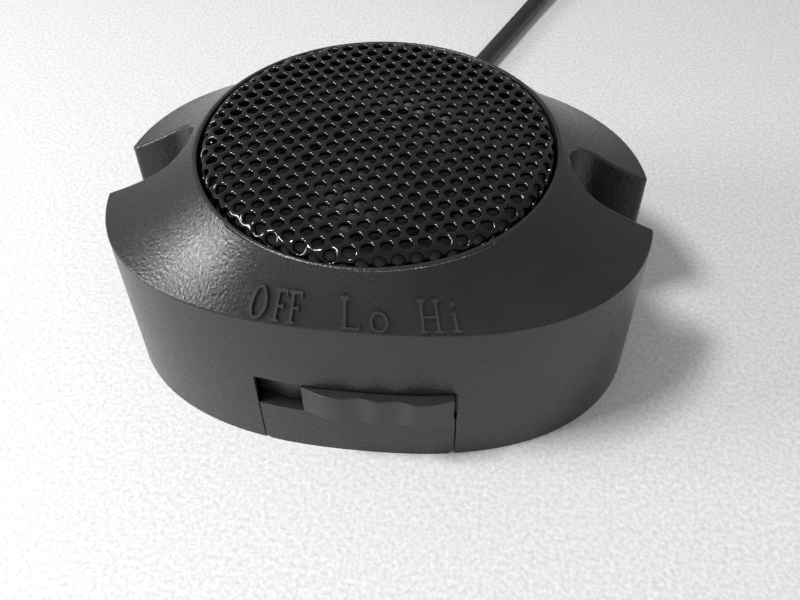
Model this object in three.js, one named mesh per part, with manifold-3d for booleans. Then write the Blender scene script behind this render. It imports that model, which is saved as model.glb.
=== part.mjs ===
// A surface-mount dome tweeter: an oval moulded housing with a round perforated grille, a screw notch
// at each end, a three-position slide switch in its front wall, and a round cord from its rear wall.
// Millimetres. The origin is the middle of the flat underside, +Z is up, +X is the right-hand end
// and -Y is the front, where the switch is.
import * as THREE from 'three';
import { mergeVertices } from 'three/addons/utils/BufferGeometryUtils.js';
import Module from 'manifold-3d';

const wasm = await Module();
wasm.setup();

// Housing. CLEAR is how far a cutting body runs past what it cuts.
const HALF_LENGTH = 36;
const HALF_WIDTH = 26.5;
const OVAL_POWER = 2.4;
const RIM_HEIGHT = 31.1;
const BRIM_FRONT = 24.1;
const BRIM_END = 23.2;
const SLOPE_DISH = 0.3;
const WALL = 2;
const GAP = 0.3;
const CLEAR = 2;
const OPENING_RADIUS = 22.8;
const RIM_RADIUS = 23.3;
const LEDGE_RADIUS = 20;
const LEDGE_TOP = 26;
const LEDGE_BOTTOM = 23.8;
const LEDGE_FOOT_RADIUS = 22.2;
const TOP_THICKNESS = 2.2;
const DRIVER_SCREW_RING = 21.3;
const DRIVER_PILOT_RADIUS = 0.95;
const DRIVER_PILOT_DEPTH = 1.9;

// Grille, a pressed dish of perforated sheet
const GRILLE = { edge: OPENING_RADIUS - 0.3, sheet: 0.6, bend: 1.8, crownRise: 1.4, crownFall: 0.001 };

// End notches, each with a floor that takes a mounting screw
const NOTCH_HALF_WIDTH = 4.6;
const NOTCH_CENTRE = 29;
const NOTCH_WALL = 1.6;
const NOTCH_FLOOR = 2.5;
const EAR_HOLE_X = 30.2;
const EAR_HOLE_RADIUS = 2.1;

// Base plate and its screws
const PLATE = 2.2;
const POST_X = 24;
const POST_Y = 14;
const POST_RADIUS = 3;
const POST_TOP = 25;
const BASE_SCREW = { shank: 1, head: 1.9, headHeight: 1.1, length: 8 };

// Switch
const SLOT_HALF_LENGTH = 12.7;
const SLOT_BOTTOM = 7.8;
const SLOT_TOP = 13.1;
const KNOB_HALF_WIDTH = 9.5;
const KNOB_TRAVEL = 2 * (SLOT_HALF_LENGTH - KNOB_HALF_WIDTH - GAP);
const KNOB_X = KNOB_TRAVEL / 2;
const RIDGE_PITCH = 4.8;
const RIDGE_HEIGHT = 1.3;
const VALLEY_HEIGHT = 0.9;
const FLANGE_HALF_WIDTH = 16;
const FLANGE_REACH = 24.6;
const FLANGE_BACK = -21.9;
const GUIDE_SKIN = 0.55;
const GUIDE_PLAY = 0.15;
const SWITCH_HEIGHT = (SLOT_BOTTOM + SLOT_TOP) / 2;
const FLANGE_OVERLAP = { low: 0.1, high: 0.8 };
const GUIDE_OVERLAP = { low: 0.3, high: 1.2 };
const GUIDE_BACK = -20.5;
const STEM_SOCKET = { halfWidth: 1.9, halfHeight: 1.4, front: -23.4, back: -20.9 };
const STEM = { halfWidth: 1.6, halfHeight: 1.1, front: -23.1, back: -20 };
const CARRIER = { halfWidth: 3.5, halfHeight: 1.9, front: -20.1, back: -18.5 };
const CAN = { halfWidth: 9.6, halfHeight: 3, front: -20.8, back: -16.9, sheet: 0.4 };
const WING = { x: 12.6, end: 15.2, halfHeight: 2.4, holeRadius: 1 };
const SWITCH_SCREW = { shank: 0.8, head: 1.5, headFront: -21.4, headBack: -20.85, point: -17.9, pilot: 0.9 };

// Driver
const FACE_TOP = 27.4;
const SEAT = 24.6;
const FRAME_BOTTOM = 22.4;
const COIL_RADIUS = 9.55;
const FORMER_WALL = 0.25;
const SKIN = 0.3;
const DOME_RISE = 3.8;
const ROLL = { radius: 1.1, centre: 11.3, innerFlat: 9.9, outerFlat: 13.7 };
const MAGNET = { bottom: 14, top: 20 };
const YOKE_BOTTOM = 11.4;
const DRIVER_SCREW = { shank: 0.65, head: 1.2, headHeight: 0.6, length: 3 };
const TOUCH = 0.1;

// Cord
const CORD_RADIUS = 1.7;
const CORD_EXIT_HEIGHT = 7;
const BUSH = { neck: 2.5, flange: 3.7, shoulder: 3.5, tip: 2.4, length: 8 };
const COIL_MID_RADIUS = 18;
const COIL_TURNS_ACROSS = 5;
const COIL_LAYERS = 2;
const TURN_PITCH = 3.45;

const SHELL_STEPS = 96;
const ROUND_STEPS = 36;
const SCREW_STEPS = 14;

const finish = (color, roughness, metalness) => new THREE.MeshStandardMaterial({ color, roughness, metalness });
const MATERIALS = {
  housing: finish(0x1b1c1c, 0.6, 0),
  grille: finish(0x08090a, 0.25, 0.5),
  knob: finish(0x202122, 0.45, 0),
  steel: finish(0xb4b6b8, 0.35, 1),
  brass: finish(0xc9a24a, 0.35, 1),
  copper: finish(0xb5663a, 0.4, 1),
  ferrite: finish(0x2a2a2c, 0.7, 0.1),
  film: finish(0x2b2622, 0.5, 0),
  felt: finish(0x3c3c3a, 1, 0),
  phenolic: finish(0x6e4a25, 0.7, 0),
  sleeve: finish(0x1d3f7a, 0.35, 0),
  ceramic: finish(0xd8d2c0, 0.6, 0),
  rubber: finish(0x141414, 0.8, 0),
  cord: finish(0x121212, 0.6, 0),
  red: finish(0xa01818, 0.5, 0),
  black: finish(0x181818, 0.5, 0),
};

const tweeter = new THREE.Group();
const add = (name, geometry, material, position = [0, 0, 0], rotation = [0, 0, 0]) => {
  const mesh = new THREE.Mesh(geometry, material);
  mesh.name = name;
  mesh.position.set(...position);
  mesh.rotation.set(...rotation);
  tweeter.add(mesh);
  return mesh;
};

// ---- Joining and cutting ----

function toSolid(geometry) {
  const bare = geometry.clone();
  bare.deleteAttribute('normal');
  bare.deleteAttribute('uv');
  const merged = mergeVertices(bare, 1e-4);
  return new wasm.Manifold(new wasm.Mesh({
    numProp: 3,
    vertProperties: new Float32Array(merged.attributes.position.array),
    triVerts: new Uint32Array(merged.index.array),
  }));
}

function toGeometry(solid) {
  const mesh = solid.getMesh();
  const geometry = new THREE.BufferGeometry();
  geometry.setAttribute('position', new THREE.BufferAttribute(new Float32Array(mesh.vertProperties), 3));
  geometry.setIndex(new THREE.BufferAttribute(new Uint32Array(mesh.triVerts), 1));
  geometry.computeVertexNormals();
  return geometry;
}

// ---- Basic shapes ----

// A box between two corners.
function block(low, high) {
  const size = high.map((value, axis) => value - low[axis]);
  const middle = high.map((value, axis) => (value + low[axis]) / 2);
  return new THREE.BoxGeometry(...size).translate(...middle);
}

// A body turned about Z from [radius, height] points.
function turned(points, steps = ROUND_STEPS) {
  const profile = points.map(([radius, height]) => new THREE.Vector2(radius, height));
  return new THREE.LatheGeometry(profile, steps).rotateX(Math.PI / 2);
}

// A flat ring or tube about Z, drawn as a closed section.
function ring(inner, outer, bottom, top, steps = ROUND_STEPS) {
  return turned([[inner, bottom], [outer, bottom], [outer, top], [inner, top], [inner, bottom]], steps);
}

// A solid disc or rod about Z.
function rod(radius, bottom, top, steps = ROUND_STEPS) {
  return turned([[0, bottom], [radius, bottom], [radius, top], [0, top]], steps);
}

// A round tube along a smooth curve through the points.
function tube(points, radius, sides, steps) {
  const route = new THREE.CatmullRomCurve3(points.map((point) => new THREE.Vector3(...point)), false, 'centripetal');
  const section = new THREE.Shape();
  for (let side = 0; side < sides; side += 1) {
    const angle = (2 * Math.PI * side) / sides;
    section[side ? 'lineTo' : 'moveTo'](radius * Math.cos(angle), radius * Math.sin(angle));
  }
  return new THREE.ExtrudeGeometry(section, { steps, extrudePath: route, bevelEnabled: false });
}

// ---- The oval ----

const superPower = (value) => Math.abs(value) ** OVAL_POWER;

// The oval's point at a polar angle, moved inwards by inset.
function ovalPoint(angle, inset) {
  const across = Math.cos(angle);
  const along = Math.sin(angle);
  const radius = (superPower(across / HALF_LENGTH) + superPower(along / HALF_WIDTH)) ** (-1 / OVAL_POWER);
  const x = radius * across;
  const y = radius * along;
  const slopeX = Math.sign(x) * superPower(x / HALF_LENGTH) / Math.max(Math.abs(x), 1e-9);
  const slopeY = Math.sign(y) * superPower(y / HALF_WIDTH) / Math.max(Math.abs(y), 1e-9);
  const scale = inset / Math.hypot(slopeX, slopeY);
  return [x - slopeX * scale, y - slopeY * scale];
}

const circle = (radius, height) => (angle) => [radius * Math.cos(angle), radius * Math.sin(angle), height];
const oval = (inset, height) => (angle) => [...ovalPoint(angle, inset), height];
const brimHeight = (angle) => BRIM_FRONT + (BRIM_END - BRIM_FRONT) * Math.cos(angle) ** 2;
const brim = (inset, drop) => (angle) => [...ovalPoint(angle, inset), brimHeight(angle) - drop];

// A line round the dished slope, a share of the way from the brim to the rim.
const slope = (share) => (angle) => {
  const [brimX, brimY, brimZ] = brim(0, 0)(angle);
  const [rimX, rimY] = circle(RIM_RADIUS, RIM_HEIGHT)(angle);
  const rise = share - SLOPE_DISH * share * (1 - share);
  return [brimX + (rimX - brimX) * share, brimY + (rimY - brimY) * share, brimZ + (RIM_HEIGHT - brimZ) * rise];
};

// How far forward the outer face of the front wall is at x.
const wallFront = (x) => HALF_WIDTH * (1 - superPower(x / HALF_LENGTH)) ** (1 / OVAL_POWER);

// A plate that bows forward as the front wall does, some way behind the wall's face.
function bowedPlate({ halfWidth, reach, behind, shift, back, low, high }) {
  const shape = new THREE.Shape();
  const steps = 24;
  shape.moveTo(-halfWidth, back);
  for (let step = 0; step <= steps; step += 1) {
    const x = halfWidth * ((2 * step) / steps - 1);
    shape.lineTo(x, -Math.min(reach, wallFront(Math.abs(x) + shift) - behind));
  }
  shape.lineTo(halfWidth, back);
  return new THREE.ExtrudeGeometry(shape, { depth: high - low, bevelEnabled: false }).translate(0, 0, low);
}

// A body swept round Z through stations, each a function from angle to point. A capped body is
// closed by a point on the axis at each end, and any other is a ring that closes on itself.
function sweptRound(stations, capped) {
  const positions = [];
  for (let step = 0; step < SHELL_STEPS; step += 1) {
    const angle = (2 * Math.PI * step) / SHELL_STEPS;
    stations.forEach((station) => positions.push(...station(angle)));
  }
  const count = stations.length;
  const vertex = (step, station) => (step % SHELL_STEPS) * count + (station % count);
  const faces = [];
  for (let step = 0; step < SHELL_STEPS; step += 1) {
    for (let station = 0; station < (capped ? count - 1 : count); station += 1) {
      faces.push(vertex(step, station), vertex(step + 1, station), vertex(step + 1, station + 1));
      faces.push(vertex(step, station), vertex(step + 1, station + 1), vertex(step, station + 1));
    }
  }
  if (capped) {
    const low = positions.length / 3;
    positions.push(0, 0, stations[0](0)[2]);
    positions.push(0, 0, stations[count - 1](0)[2]);
    for (let step = 0; step < SHELL_STEPS; step += 1) {
      faces.push(low, vertex(step + 1, 0), vertex(step, 0));
      faces.push(low + 1, vertex(step, count - 1), vertex(step + 1, count - 1));
    }
  }
  const geometry = new THREE.BufferGeometry();
  geometry.setAttribute('position', new THREE.Float32BufferAttribute(positions, 3));
  geometry.setIndex(faces);
  return geometry;
}

const ovalPrism = (inset, bottom, top) => toSolid(sweptRound([oval(inset, bottom), oval(inset, top)], true));

// The U of an end notch in plan, swollen by margin, as an upright prism.
function notchPrism(side, margin, bottom, top) {
  const radius = NOTCH_HALF_WIDTH + margin;
  const shape = new THREE.Shape();
  shape.moveTo(HALF_LENGTH + 10, radius);
  shape.lineTo(NOTCH_CENTRE, radius);
  shape.absarc(NOTCH_CENTRE, 0, radius, Math.PI / 2, (3 * Math.PI) / 2, false);
  shape.lineTo(HALF_LENGTH + 10, -radius);
  const prism = new THREE.ExtrudeGeometry(shape, { depth: top - bottom, bevelEnabled: false, curveSegments: 12 });
  if (side < 0) prism.rotateZ(Math.PI);
  return toSolid(prism.translate(0, 0, bottom));
}

const corners = (x, y) => [[x, y], [-x, y], [-x, -y], [x, -y]];
const POSTS = corners(POST_X, POST_Y);
const DRIVER_SCREWS = [90, 210, 330].map((degrees) => {
  const angle = THREE.MathUtils.degToRad(degrees);
  return [DRIVER_SCREW_RING * Math.cos(angle), DRIVER_SCREW_RING * Math.sin(angle)];
});

// ---- Housing ----

function housingShell() {
  const outside = [oval(0, 0), brim(0, 0), slope(0.25), slope(0.5), slope(0.75), circle(RIM_RADIUS, RIM_HEIGHT)];
  const filled = toSolid(sweptRound(outside, true));
  const shell = toSolid(sweptRound([
    ...outside,
    circle(OPENING_RADIUS, RIM_HEIGHT),
    circle(OPENING_RADIUS, LEDGE_TOP),
    circle(LEDGE_RADIUS, LEDGE_TOP),
    circle(LEDGE_RADIUS, LEDGE_BOTTOM),
    circle(LEDGE_FOOT_RADIUS, LEDGE_BOTTOM),
    brim(WALL, TOP_THICKNESS),
    oval(WALL, 0),
  ], false));
  let body = shell;
  [1, -1].forEach((side) => {
    const pocket = notchPrism(side, NOTCH_WALL, 0, RIM_HEIGHT).intersect(filled);
    body = body.add(pocket.subtract(toSolid(rod(OPENING_RADIUS, LEDGE_BOTTOM, RIM_HEIGHT + 1))));
  });
  POSTS.forEach(([x, y]) => {
    const post = toSolid(rod(POST_RADIUS, PLATE + GAP, POST_TOP, 20).translate(x, y, 0));
    const pilot = toSolid(rod(BASE_SCREW.shank + GAP, 0, BASE_SCREW.length + 2, SCREW_STEPS).translate(x, y, 0));
    body = body.add(post).subtract(pilot);
  });
  [1, -1].forEach((side) => {
    body = body.subtract(notchPrism(side, 0, NOTCH_FLOOR, RIM_HEIGHT + 5));
    const hole = rod(EAR_HOLE_RADIUS, -1, NOTCH_FLOOR + 1, 24).translate(side * EAR_HOLE_X, 0, 0);
    body = body.subtract(toSolid(hole));
  });
  const slot = block([-SLOT_HALF_LENGTH, -HALF_WIDTH - CLEAR, -CLEAR], [SLOT_HALF_LENGTH, GUIDE_BACK, SLOT_TOP]);
  const guide = bowedPlate({
    halfWidth: FLANGE_HALF_WIDTH + KNOB_X + GAP,
    reach: FLANGE_REACH + GUIDE_PLAY,
    behind: GUIDE_SKIN,
    shift: 0,
    back: GUIDE_BACK,
    low: SLOT_BOTTOM - GUIDE_OVERLAP.low,
    high: SLOT_TOP + GUIDE_OVERLAP.high,
  });
  const cordHole = rod(BUSH.neck + 0.2, -WALL - CLEAR, CLEAR, 20).rotateX(-Math.PI / 2);
  body = body.subtract(toSolid(slot)).subtract(toSolid(guide));
  body = body.subtract(toSolid(cordHole.translate(0, HALF_WIDTH, CORD_EXIT_HEIGHT)));
  DRIVER_SCREWS.forEach(([x, y]) => {
    const pilot = rod(DRIVER_PILOT_RADIUS, LEDGE_TOP - DRIVER_PILOT_DEPTH, LEDGE_TOP + CLEAR, SCREW_STEPS);
    body = body.subtract(toSolid(pilot.translate(x, y, 0)));
  });
  return toGeometry(body);
}

function basePlate() {
  const sideGap = SLOT_HALF_LENGTH - 0.25;
  const front = -HALF_WIDTH - CLEAR;
  const back = -HALF_WIDTH + 2 * CLEAR;
  const tongueBox = block([-sideGap, front, 0], [sideGap, back, SLOT_BOTTOM]);
  const inside = ovalPrism(WALL, PLATE, SLOT_TOP);
  const tongue = ovalPrism(0, 0, SLOT_BOTTOM).intersect(toSolid(tongueBox)).subtract(inside);
  let plate = ovalPrism(WALL + GAP, 0, PLATE).add(tongue);
  [1, -1].forEach((side) => {
    plate = plate.subtract(notchPrism(side, NOTCH_WALL + GAP, -1, PLATE + 1));
    const post = block(
      [side * WING.x - 2, CAN.front + CAN.sheet + 0.2, PLATE - 0.5],
      [side * WING.x + 2, CAN.back, SWITCH_HEIGHT + WING.halfHeight],
    );
    const pilot = rod(SWITCH_SCREW.pilot, CAN.front - CLEAR, SWITCH_SCREW.point + GAP, SCREW_STEPS);
    pilot.rotateX(-Math.PI / 2).translate(side * WING.x, 0, SWITCH_HEIGHT);
    const corner = block([-0.55, front, -0.55], [0.55, back, 0.55]).rotateY(Math.PI / 4);
    plate = plate.add(toSolid(post)).subtract(toSolid(pilot));
    plate = plate.subtract(toSolid(corner.translate(side * sideGap, 0, 0)));
  });
  POSTS.forEach(([x, y]) => {
    const { shank, head, headHeight } = BASE_SCREW;
    const sink = turned([
      [0, -1], [head + GAP, -1], [head + GAP, 0], [shank + GAP, headHeight], [shank + GAP, PLATE + 1], [0, PLATE + 1],
    ], SCREW_STEPS);
    plate = plate.subtract(toSolid(sink.translate(x, y, 0)));
  });
  return toGeometry(plate);
}

// A countersunk screw about Z, head at the bottom and point upwards, with a cross recess.
function countersunkScrew({ shank, head, headHeight, length }) {
  const body = toSolid(turned([
    [0, 0.05], [head, 0.05], [shank, headHeight], [shank, length - 1], [0.2, length], [0, length],
  ], SCREW_STEPS));
  const arm = head * 0.6;
  const across = toSolid(block([-arm, -0.2, -1], [arm, 0.2, 0.7]));
  const along = toSolid(block([-0.2, -arm, -1], [0.2, arm, 0.7]));
  return toGeometry(body.subtract(across).subtract(along));
}

// The pressed dish: a shallow crown and a rounded edge that drops into the rim.
function grille() {
  const { edge, sheet, bend, crownRise, crownFall } = GRILLE;
  const crown = (radius) => RIM_HEIGHT + crownRise - crownFall * radius * radius;
  const outside = [0, 8, 14, edge - bend].map((radius) => [radius, crown(radius)]);
  const inside = outside.map(([radius, height]) => [radius, height - sheet]);
  const bendHeight = crown(edge - bend) - bend;
  [30, 60, 90].forEach((degrees) => {
    const angle = THREE.MathUtils.degToRad(degrees);
    const across = Math.sin(angle);
    const up = Math.cos(angle);
    outside.push([edge - bend + bend * across, bendHeight + bend * up]);
    inside.push([edge - bend + (bend - sheet) * across, bendHeight + (bend - sheet) * up]);
  });
  const foot = FACE_TOP + 0.15;
  return turned([...inside, [edge - sheet, foot], [edge, foot], ...outside.slice(1).reverse(), outside[0]], 48);
}

add('housing_shell', housingShell(), MATERIALS.housing);
add('base_plate', basePlate(), MATERIALS.housing);
add('grille', grille(), MATERIALS.grille);
POSTS.forEach(([x, y], index) => {
  add(`base_screw_${index + 1}`, countersunkScrew(BASE_SCREW), MATERIALS.steel, [x, y, 0]);
});

// ---- Driver ----

function driverFrame() {
  let frame = toSolid(turned([
    [LEDGE_RADIUS - GAP, LEDGE_TOP + TOUCH], [22.4, LEDGE_TOP + TOUCH], [22.4, FACE_TOP], [17, FACE_TOP],
    [14, SEAT + 1.2], [14, SEAT], [12.4, SEAT], [12.4, FRAME_BOTTOM], [16.5, FRAME_BOTTOM],
    [LEDGE_RADIUS - GAP, 24.8], [LEDGE_RADIUS - GAP, LEDGE_TOP + TOUCH],
  ]));
  DRIVER_SCREWS.forEach(([x, y]) => {
    const sink = turned([
      [0, SEAT], [DRIVER_PILOT_RADIUS, SEAT], [DRIVER_PILOT_RADIUS, FACE_TOP - DRIVER_SCREW.headHeight - 0.2],
      [DRIVER_SCREW.head + GAP, FACE_TOP], [DRIVER_SCREW.head + GAP, FACE_TOP + CLEAR], [0, FACE_TOP + CLEAR],
    ], SCREW_STEPS);
    frame = frame.subtract(toSolid(sink.translate(x, y, 0)));
  });
  return toGeometry(frame);
}

// A thin cap: part of a sphere, with its foot at the coil former.
function dome() {
  const footRadius = COIL_RADIUS + FORMER_WALL;
  const sphere = (footRadius ** 2 + DOME_RISE ** 2) / (2 * DOME_RISE);
  const reach = Math.asin(footRadius / sphere);
  const centre = SEAT + 2 * SKIN + DOME_RISE - sphere;
  const points = (radius) => Array.from({ length: 6 }, (_, step) => {
    const angle = (reach * step) / 5;
    return [step ? radius * Math.sin(angle) : 0, centre + radius * Math.cos(angle)];
  });
  return turned([...points(sphere - SKIN), ...points(sphere).reverse()]);
}

// The half-roll that hangs the dome from the frame.
function surround() {
  const { radius: rollRadius, centre: rollCentre, innerFlat, outerFlat } = ROLL;
  const level = SEAT + TOUCH;
  const arc = (radius) => Array.from({ length: 5 }, (_, step) => {
    const angle = Math.PI - (Math.PI * step) / 4;
    return [rollCentre + radius * Math.cos(angle), level + SKIN + radius * Math.sin(angle)];
  });
  const underside = arc(rollRadius - SKIN);
  const upperside = arc(rollRadius).reverse();
  return turned([
    [innerFlat, level], [rollCentre - rollRadius + SKIN, level], ...underside,
    [rollCentre + rollRadius - SKIN, level], [outerFlat, level], [outerFlat, level + SKIN],
    ...upperside, [innerFlat, level + SKIN], [innerFlat, level],
  ]);
}

const plateTop = FRAME_BOTTOM - TOUCH;
add('driver_frame', driverFrame(), MATERIALS.housing);
add('surround', surround(), MATERIALS.rubber);
add('dome', dome(), MATERIALS.film);
add('voice_coil_former', ring(COIL_RADIUS, COIL_RADIUS + FORMER_WALL, 18.8, SEAT + 0.25), MATERIALS.film);
add('voice_coil', ring(COIL_RADIUS + 0.35, COIL_RADIUS + 0.8, 19.4, 22.6), MATERIALS.copper);
add('top_plate', ring(10.7, 15.5, MAGNET.top + TOUCH, plateTop), MATERIALS.steel);
add('ring_magnet', ring(11.8, 16.2, MAGNET.bottom, MAGNET.top), MATERIALS.ferrite);
add('t_yoke', turned([
  [0, YOKE_BOTTOM], [15.5, YOKE_BOTTOM], [15.5, MAGNET.bottom - TOUCH], [9.2, MAGNET.bottom - TOUCH], [9.2, plateTop],
  [0, plateTop],
]), MATERIALS.steel);
add('pole_felt', rod(8.4, plateTop + TOUCH, plateTop + 1.2), MATERIALS.felt);
DRIVER_SCREWS.forEach(([x, y], index) => {
  const screw = countersunkScrew(DRIVER_SCREW);
  add(`driver_screw_${index + 1}`, screw, MATERIALS.steel, [x, y, FACE_TOP], [Math.PI, 0, 0]);
});
add('terminal_board', block([-7, 16.4, 15.4], [7, 17.6, 22]), MATERIALS.phenolic);
[['terminal_plus', 4], ['terminal_minus', -4]].forEach(([name, x]) => {
  add(name, block([x - 1, 17.7, 13.5], [x + 1, 18.2, 20.4]), MATERIALS.brass);
});

// ---- Switch ----

// A block centred on x = 0 at the switch's height.
function lyingBlock({ halfWidth, halfHeight, front, back }) {
  return block([-halfWidth, front, SWITCH_HEIGHT - halfHeight], [halfWidth, back, SWITCH_HEIGHT + halfHeight]);
}

// The grip has three ridges and two valleys, and a flange behind it covers the slot.
function switchKnob() {
  const wallFace = -HALF_WIDTH;
  const ridge = wallFace - RIDGE_HEIGHT;
  const valley = wallFace - VALLEY_HEIGHT;
  const gripBack = -FLANGE_REACH + 0.5;
  const shoulder = [6.6, wallFace - 0.9];
  const side = wallFace - 0.05;
  const outline = new THREE.Shape();
  outline.moveTo(-KNOB_HALF_WIDTH, gripBack);
  outline.lineTo(-KNOB_HALF_WIDTH, side);
  outline.quadraticCurveTo(-shoulder[0], shoulder[1], -RIDGE_PITCH, ridge);
  outline.quadraticCurveTo(-RIDGE_PITCH / 2, 2 * valley - ridge, 0, ridge);
  outline.quadraticCurveTo(RIDGE_PITCH / 2, 2 * valley - ridge, RIDGE_PITCH, ridge);
  outline.quadraticCurveTo(shoulder[0], shoulder[1], KNOB_HALF_WIDTH, side);
  outline.lineTo(KNOB_HALF_WIDTH, gripBack);
  const low = SLOT_BOTTOM + GAP;
  const high = SLOT_TOP - GAP;
  const grip = new THREE.ExtrudeGeometry(outline, { depth: high - low, bevelEnabled: false, curveSegments: 6 });
  const flange = bowedPlate({
    halfWidth: FLANGE_HALF_WIDTH,
    reach: FLANGE_REACH,
    behind: GUIDE_SKIN + GUIDE_PLAY,
    shift: KNOB_X,
    back: FLANGE_BACK,
    low: SLOT_BOTTOM + FLANGE_OVERLAP.low,
    high: SLOT_TOP + FLANGE_OVERLAP.high,
  });
  const knob = toSolid(grip.translate(0, 0, low)).add(toSolid(flange)).subtract(toSolid(lyingBlock(STEM_SOCKET)));
  return toGeometry(knob.translate([KNOB_X, 0, 0]));
}

function switchSlider() {
  return toGeometry(toSolid(lyingBlock(CARRIER)).add(toSolid(lyingBlock(STEM))).translate([KNOB_X, 0, 0]));
}

// A pressed can with a wing each side, open at the rear and with a window for the stem.
function switchFrame() {
  const { front, sheet } = CAN;
  const wings = lyingBlock({ halfWidth: WING.end, halfHeight: WING.halfHeight, front, back: front + sheet });
  const hollow = lyingBlock({
    halfWidth: CAN.halfWidth - sheet,
    halfHeight: CAN.halfHeight - sheet,
    front: front + sheet,
    back: CAN.back + CLEAR,
  });
  const window = lyingBlock({ halfWidth: 5, halfHeight: 1.4, front: front - CLEAR, back: front + 1 });
  let frame = toSolid(wings).add(toSolid(lyingBlock(CAN))).subtract(toSolid(hollow)).subtract(toSolid(window));
  [1, -1].forEach((side) => {
    const hole = rod(WING.holeRadius, front - CLEAR, front + CLEAR, SCREW_STEPS).rotateX(-Math.PI / 2);
    frame = frame.subtract(toSolid(hole.translate(side * WING.x, 0, SWITCH_HEIGHT)));
  });
  return toGeometry(frame);
}

const PIN_X = [-6, -2, 2, 6];
const pinHeight = SWITCH_HEIGHT - 1.8;
add('switch_knob', switchKnob(), MATERIALS.knob);
add('switch_slider', switchSlider(), MATERIALS.housing);
const contact = lyingBlock({ halfWidth: 2.4, halfHeight: 1, front: CARRIER.back + TOUCH, back: -18.05 });
add('switch_contact', contact.translate(KNOB_X, 0, 0), MATERIALS.brass);
add('switch_frame', switchFrame(), MATERIALS.steel);
add('switch_base', lyingBlock({ halfWidth: 9, halfHeight: 2.4, front: -17.9, back: -17 }), MATERIALS.phenolic);
PIN_X.forEach((x, index) => {
  const pin = block([x - 0.6, -16.9, pinHeight - 0.25], [x + 0.6, -13.6, pinHeight + 0.25]);
  add(`switch_pin_${index + 1}`, pin, MATERIALS.brass);
});
[-1, 1].forEach((side, index) => {
  const { shank, head, headFront, headBack, point } = SWITCH_SCREW;
  const shaft = toSolid(rod(shank, headBack - 0.15, point, SCREW_STEPS));
  const screw = toSolid(rod(head, headFront, headBack, SCREW_STEPS)).add(shaft);
  const geometry = toGeometry(screw).rotateX(-Math.PI / 2);
  add(`switch_screw_${index + 1}`, geometry, MATERIALS.steel, [side * WING.x, 0, SWITCH_HEIGHT]);
});

// ---- Crossover ----

const CAPACITOR = { x: -5, y: 2, radius: 3.2, halfLength: 6.5 };
const RESISTOR = { x: -1, y: -7, radius: 1.9, halfLength: 5 };
const lying = (part) => PLATE + TOUCH + part.radius;
add('capacitor', rod(CAPACITOR.radius, -CAPACITOR.halfLength, CAPACITOR.halfLength, 24), MATERIALS.sleeve,
  [CAPACITOR.x, CAPACITOR.y, lying(CAPACITOR)], [0, Math.PI / 2, 0]);
add('resistor', rod(RESISTOR.radius, -RESISTOR.halfLength, RESISTOR.halfLength, 20), MATERIALS.ceramic,
  [RESISTOR.x, RESISTOR.y, lying(RESISTOR)], [0, Math.PI / 2, 0]);

const WIRE_RADIUS = 0.55;
const capacitorEnd = CAPACITOR.halfLength + GAP;
const resistorEnd = RESISTOR.halfLength + GAP;
const solder = -13.1;
const wires = {
  wire_supply_plus: ['red', [
    [1.2, 20.8, CORD_EXIT_HEIGHT], [6, 17, 5], [11, 8, 4], [11, -5, 4.5], [8, -11, 6.5], [6, solder, pinHeight],
  ]],
  wire_supply_minus: ['black', [
    [-1.2, 20.8, CORD_EXIT_HEIGHT], [-3.4, 20.4, 8.6], [-4, 19.4, 10.8], [-4, 18.6, 12.4], [-4, 17.95, 13.3],
  ]],
  wire_switch_capacitor: ['black', [
    [-6, solder, pinHeight], [-9.5, -10.5, 7], [-15, -6, 5.5], [-15.5, 0, 5.5],
    [CAPACITOR.x - capacitorEnd - 1.5, CAPACITOR.y, lying(CAPACITOR)],
    [CAPACITOR.x - capacitorEnd, CAPACITOR.y, lying(CAPACITOR)],
  ]],
  wire_capacitor_driver: ['red', [
    [CAPACITOR.x + capacitorEnd, CAPACITOR.y, lying(CAPACITOR)],
    [CAPACITOR.x + capacitorEnd + 1.4, CAPACITOR.y, lying(CAPACITOR)],
    [CAPACITOR.x + capacitorEnd + 2.6, CAPACITOR.y + 1.5, lying(CAPACITOR) + 0.5],
    [5, 11, 8], [4.2, 16.4, 11], [4, 17.95, 13.3],
  ]],
  wire_switch_resistor: ['black', [
    [2, solder, pinHeight], [3.4, -10.8, 7.6], [6.6, -8.2, 5.4], [6.6, -7, lying(RESISTOR)],
    [RESISTOR.x + resistorEnd + 1, RESISTOR.y, lying(RESISTOR)],
    [RESISTOR.x + resistorEnd, RESISTOR.y, lying(RESISTOR)],
  ]],
};
Object.entries(wires).forEach(([name, [colour, points]]) => {
  add(name, tube(points, WIRE_RADIUS, 6, 12), MATERIALS[colour]);
});

// ---- Cord ----

// The strain relief: a bush in the rear wall with a short taper outside.
function cordGrommet() {
  const bore = CORD_RADIUS + GAP;
  const wallFace = HALF_WIDTH;
  const wallBack = wallFace - WALL - GAP;
  const start = wallBack - 1.1;
  const { neck, flange, shoulder, tip, length } = BUSH;
  return turned([
    [bore, start], [flange, start], [flange, wallBack], [neck, wallBack], [neck, wallFace + GAP],
    [flange, wallFace + GAP], [shoulder, wallFace + 1.6], [tip, wallFace + length], [bore, wallFace + length],
    [bore, start],
  ], 24).rotateX(-Math.PI / 2);
}

const floorLevel = CORD_RADIUS + 0.05;
const CORD_ROUTE = [
  [0, 21.4, CORD_EXIT_HEIGHT], [0, 28.5, CORD_EXIT_HEIGHT], [0, 35, CORD_EXIT_HEIGHT], [0.7, 40.5, 6],
  [2.5, 45.5, 4], [4.9, 50.5, 2.3], [7.4, 55.8, floorLevel], [9.8, 61.1, floorLevel],
  [12.2, 66.7, floorLevel], [15.7, 75, floorLevel], [19.3, 83.5, floorLevel], [23, 92.1, 2], [26.5, 100.3, 3.2],
];

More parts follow.
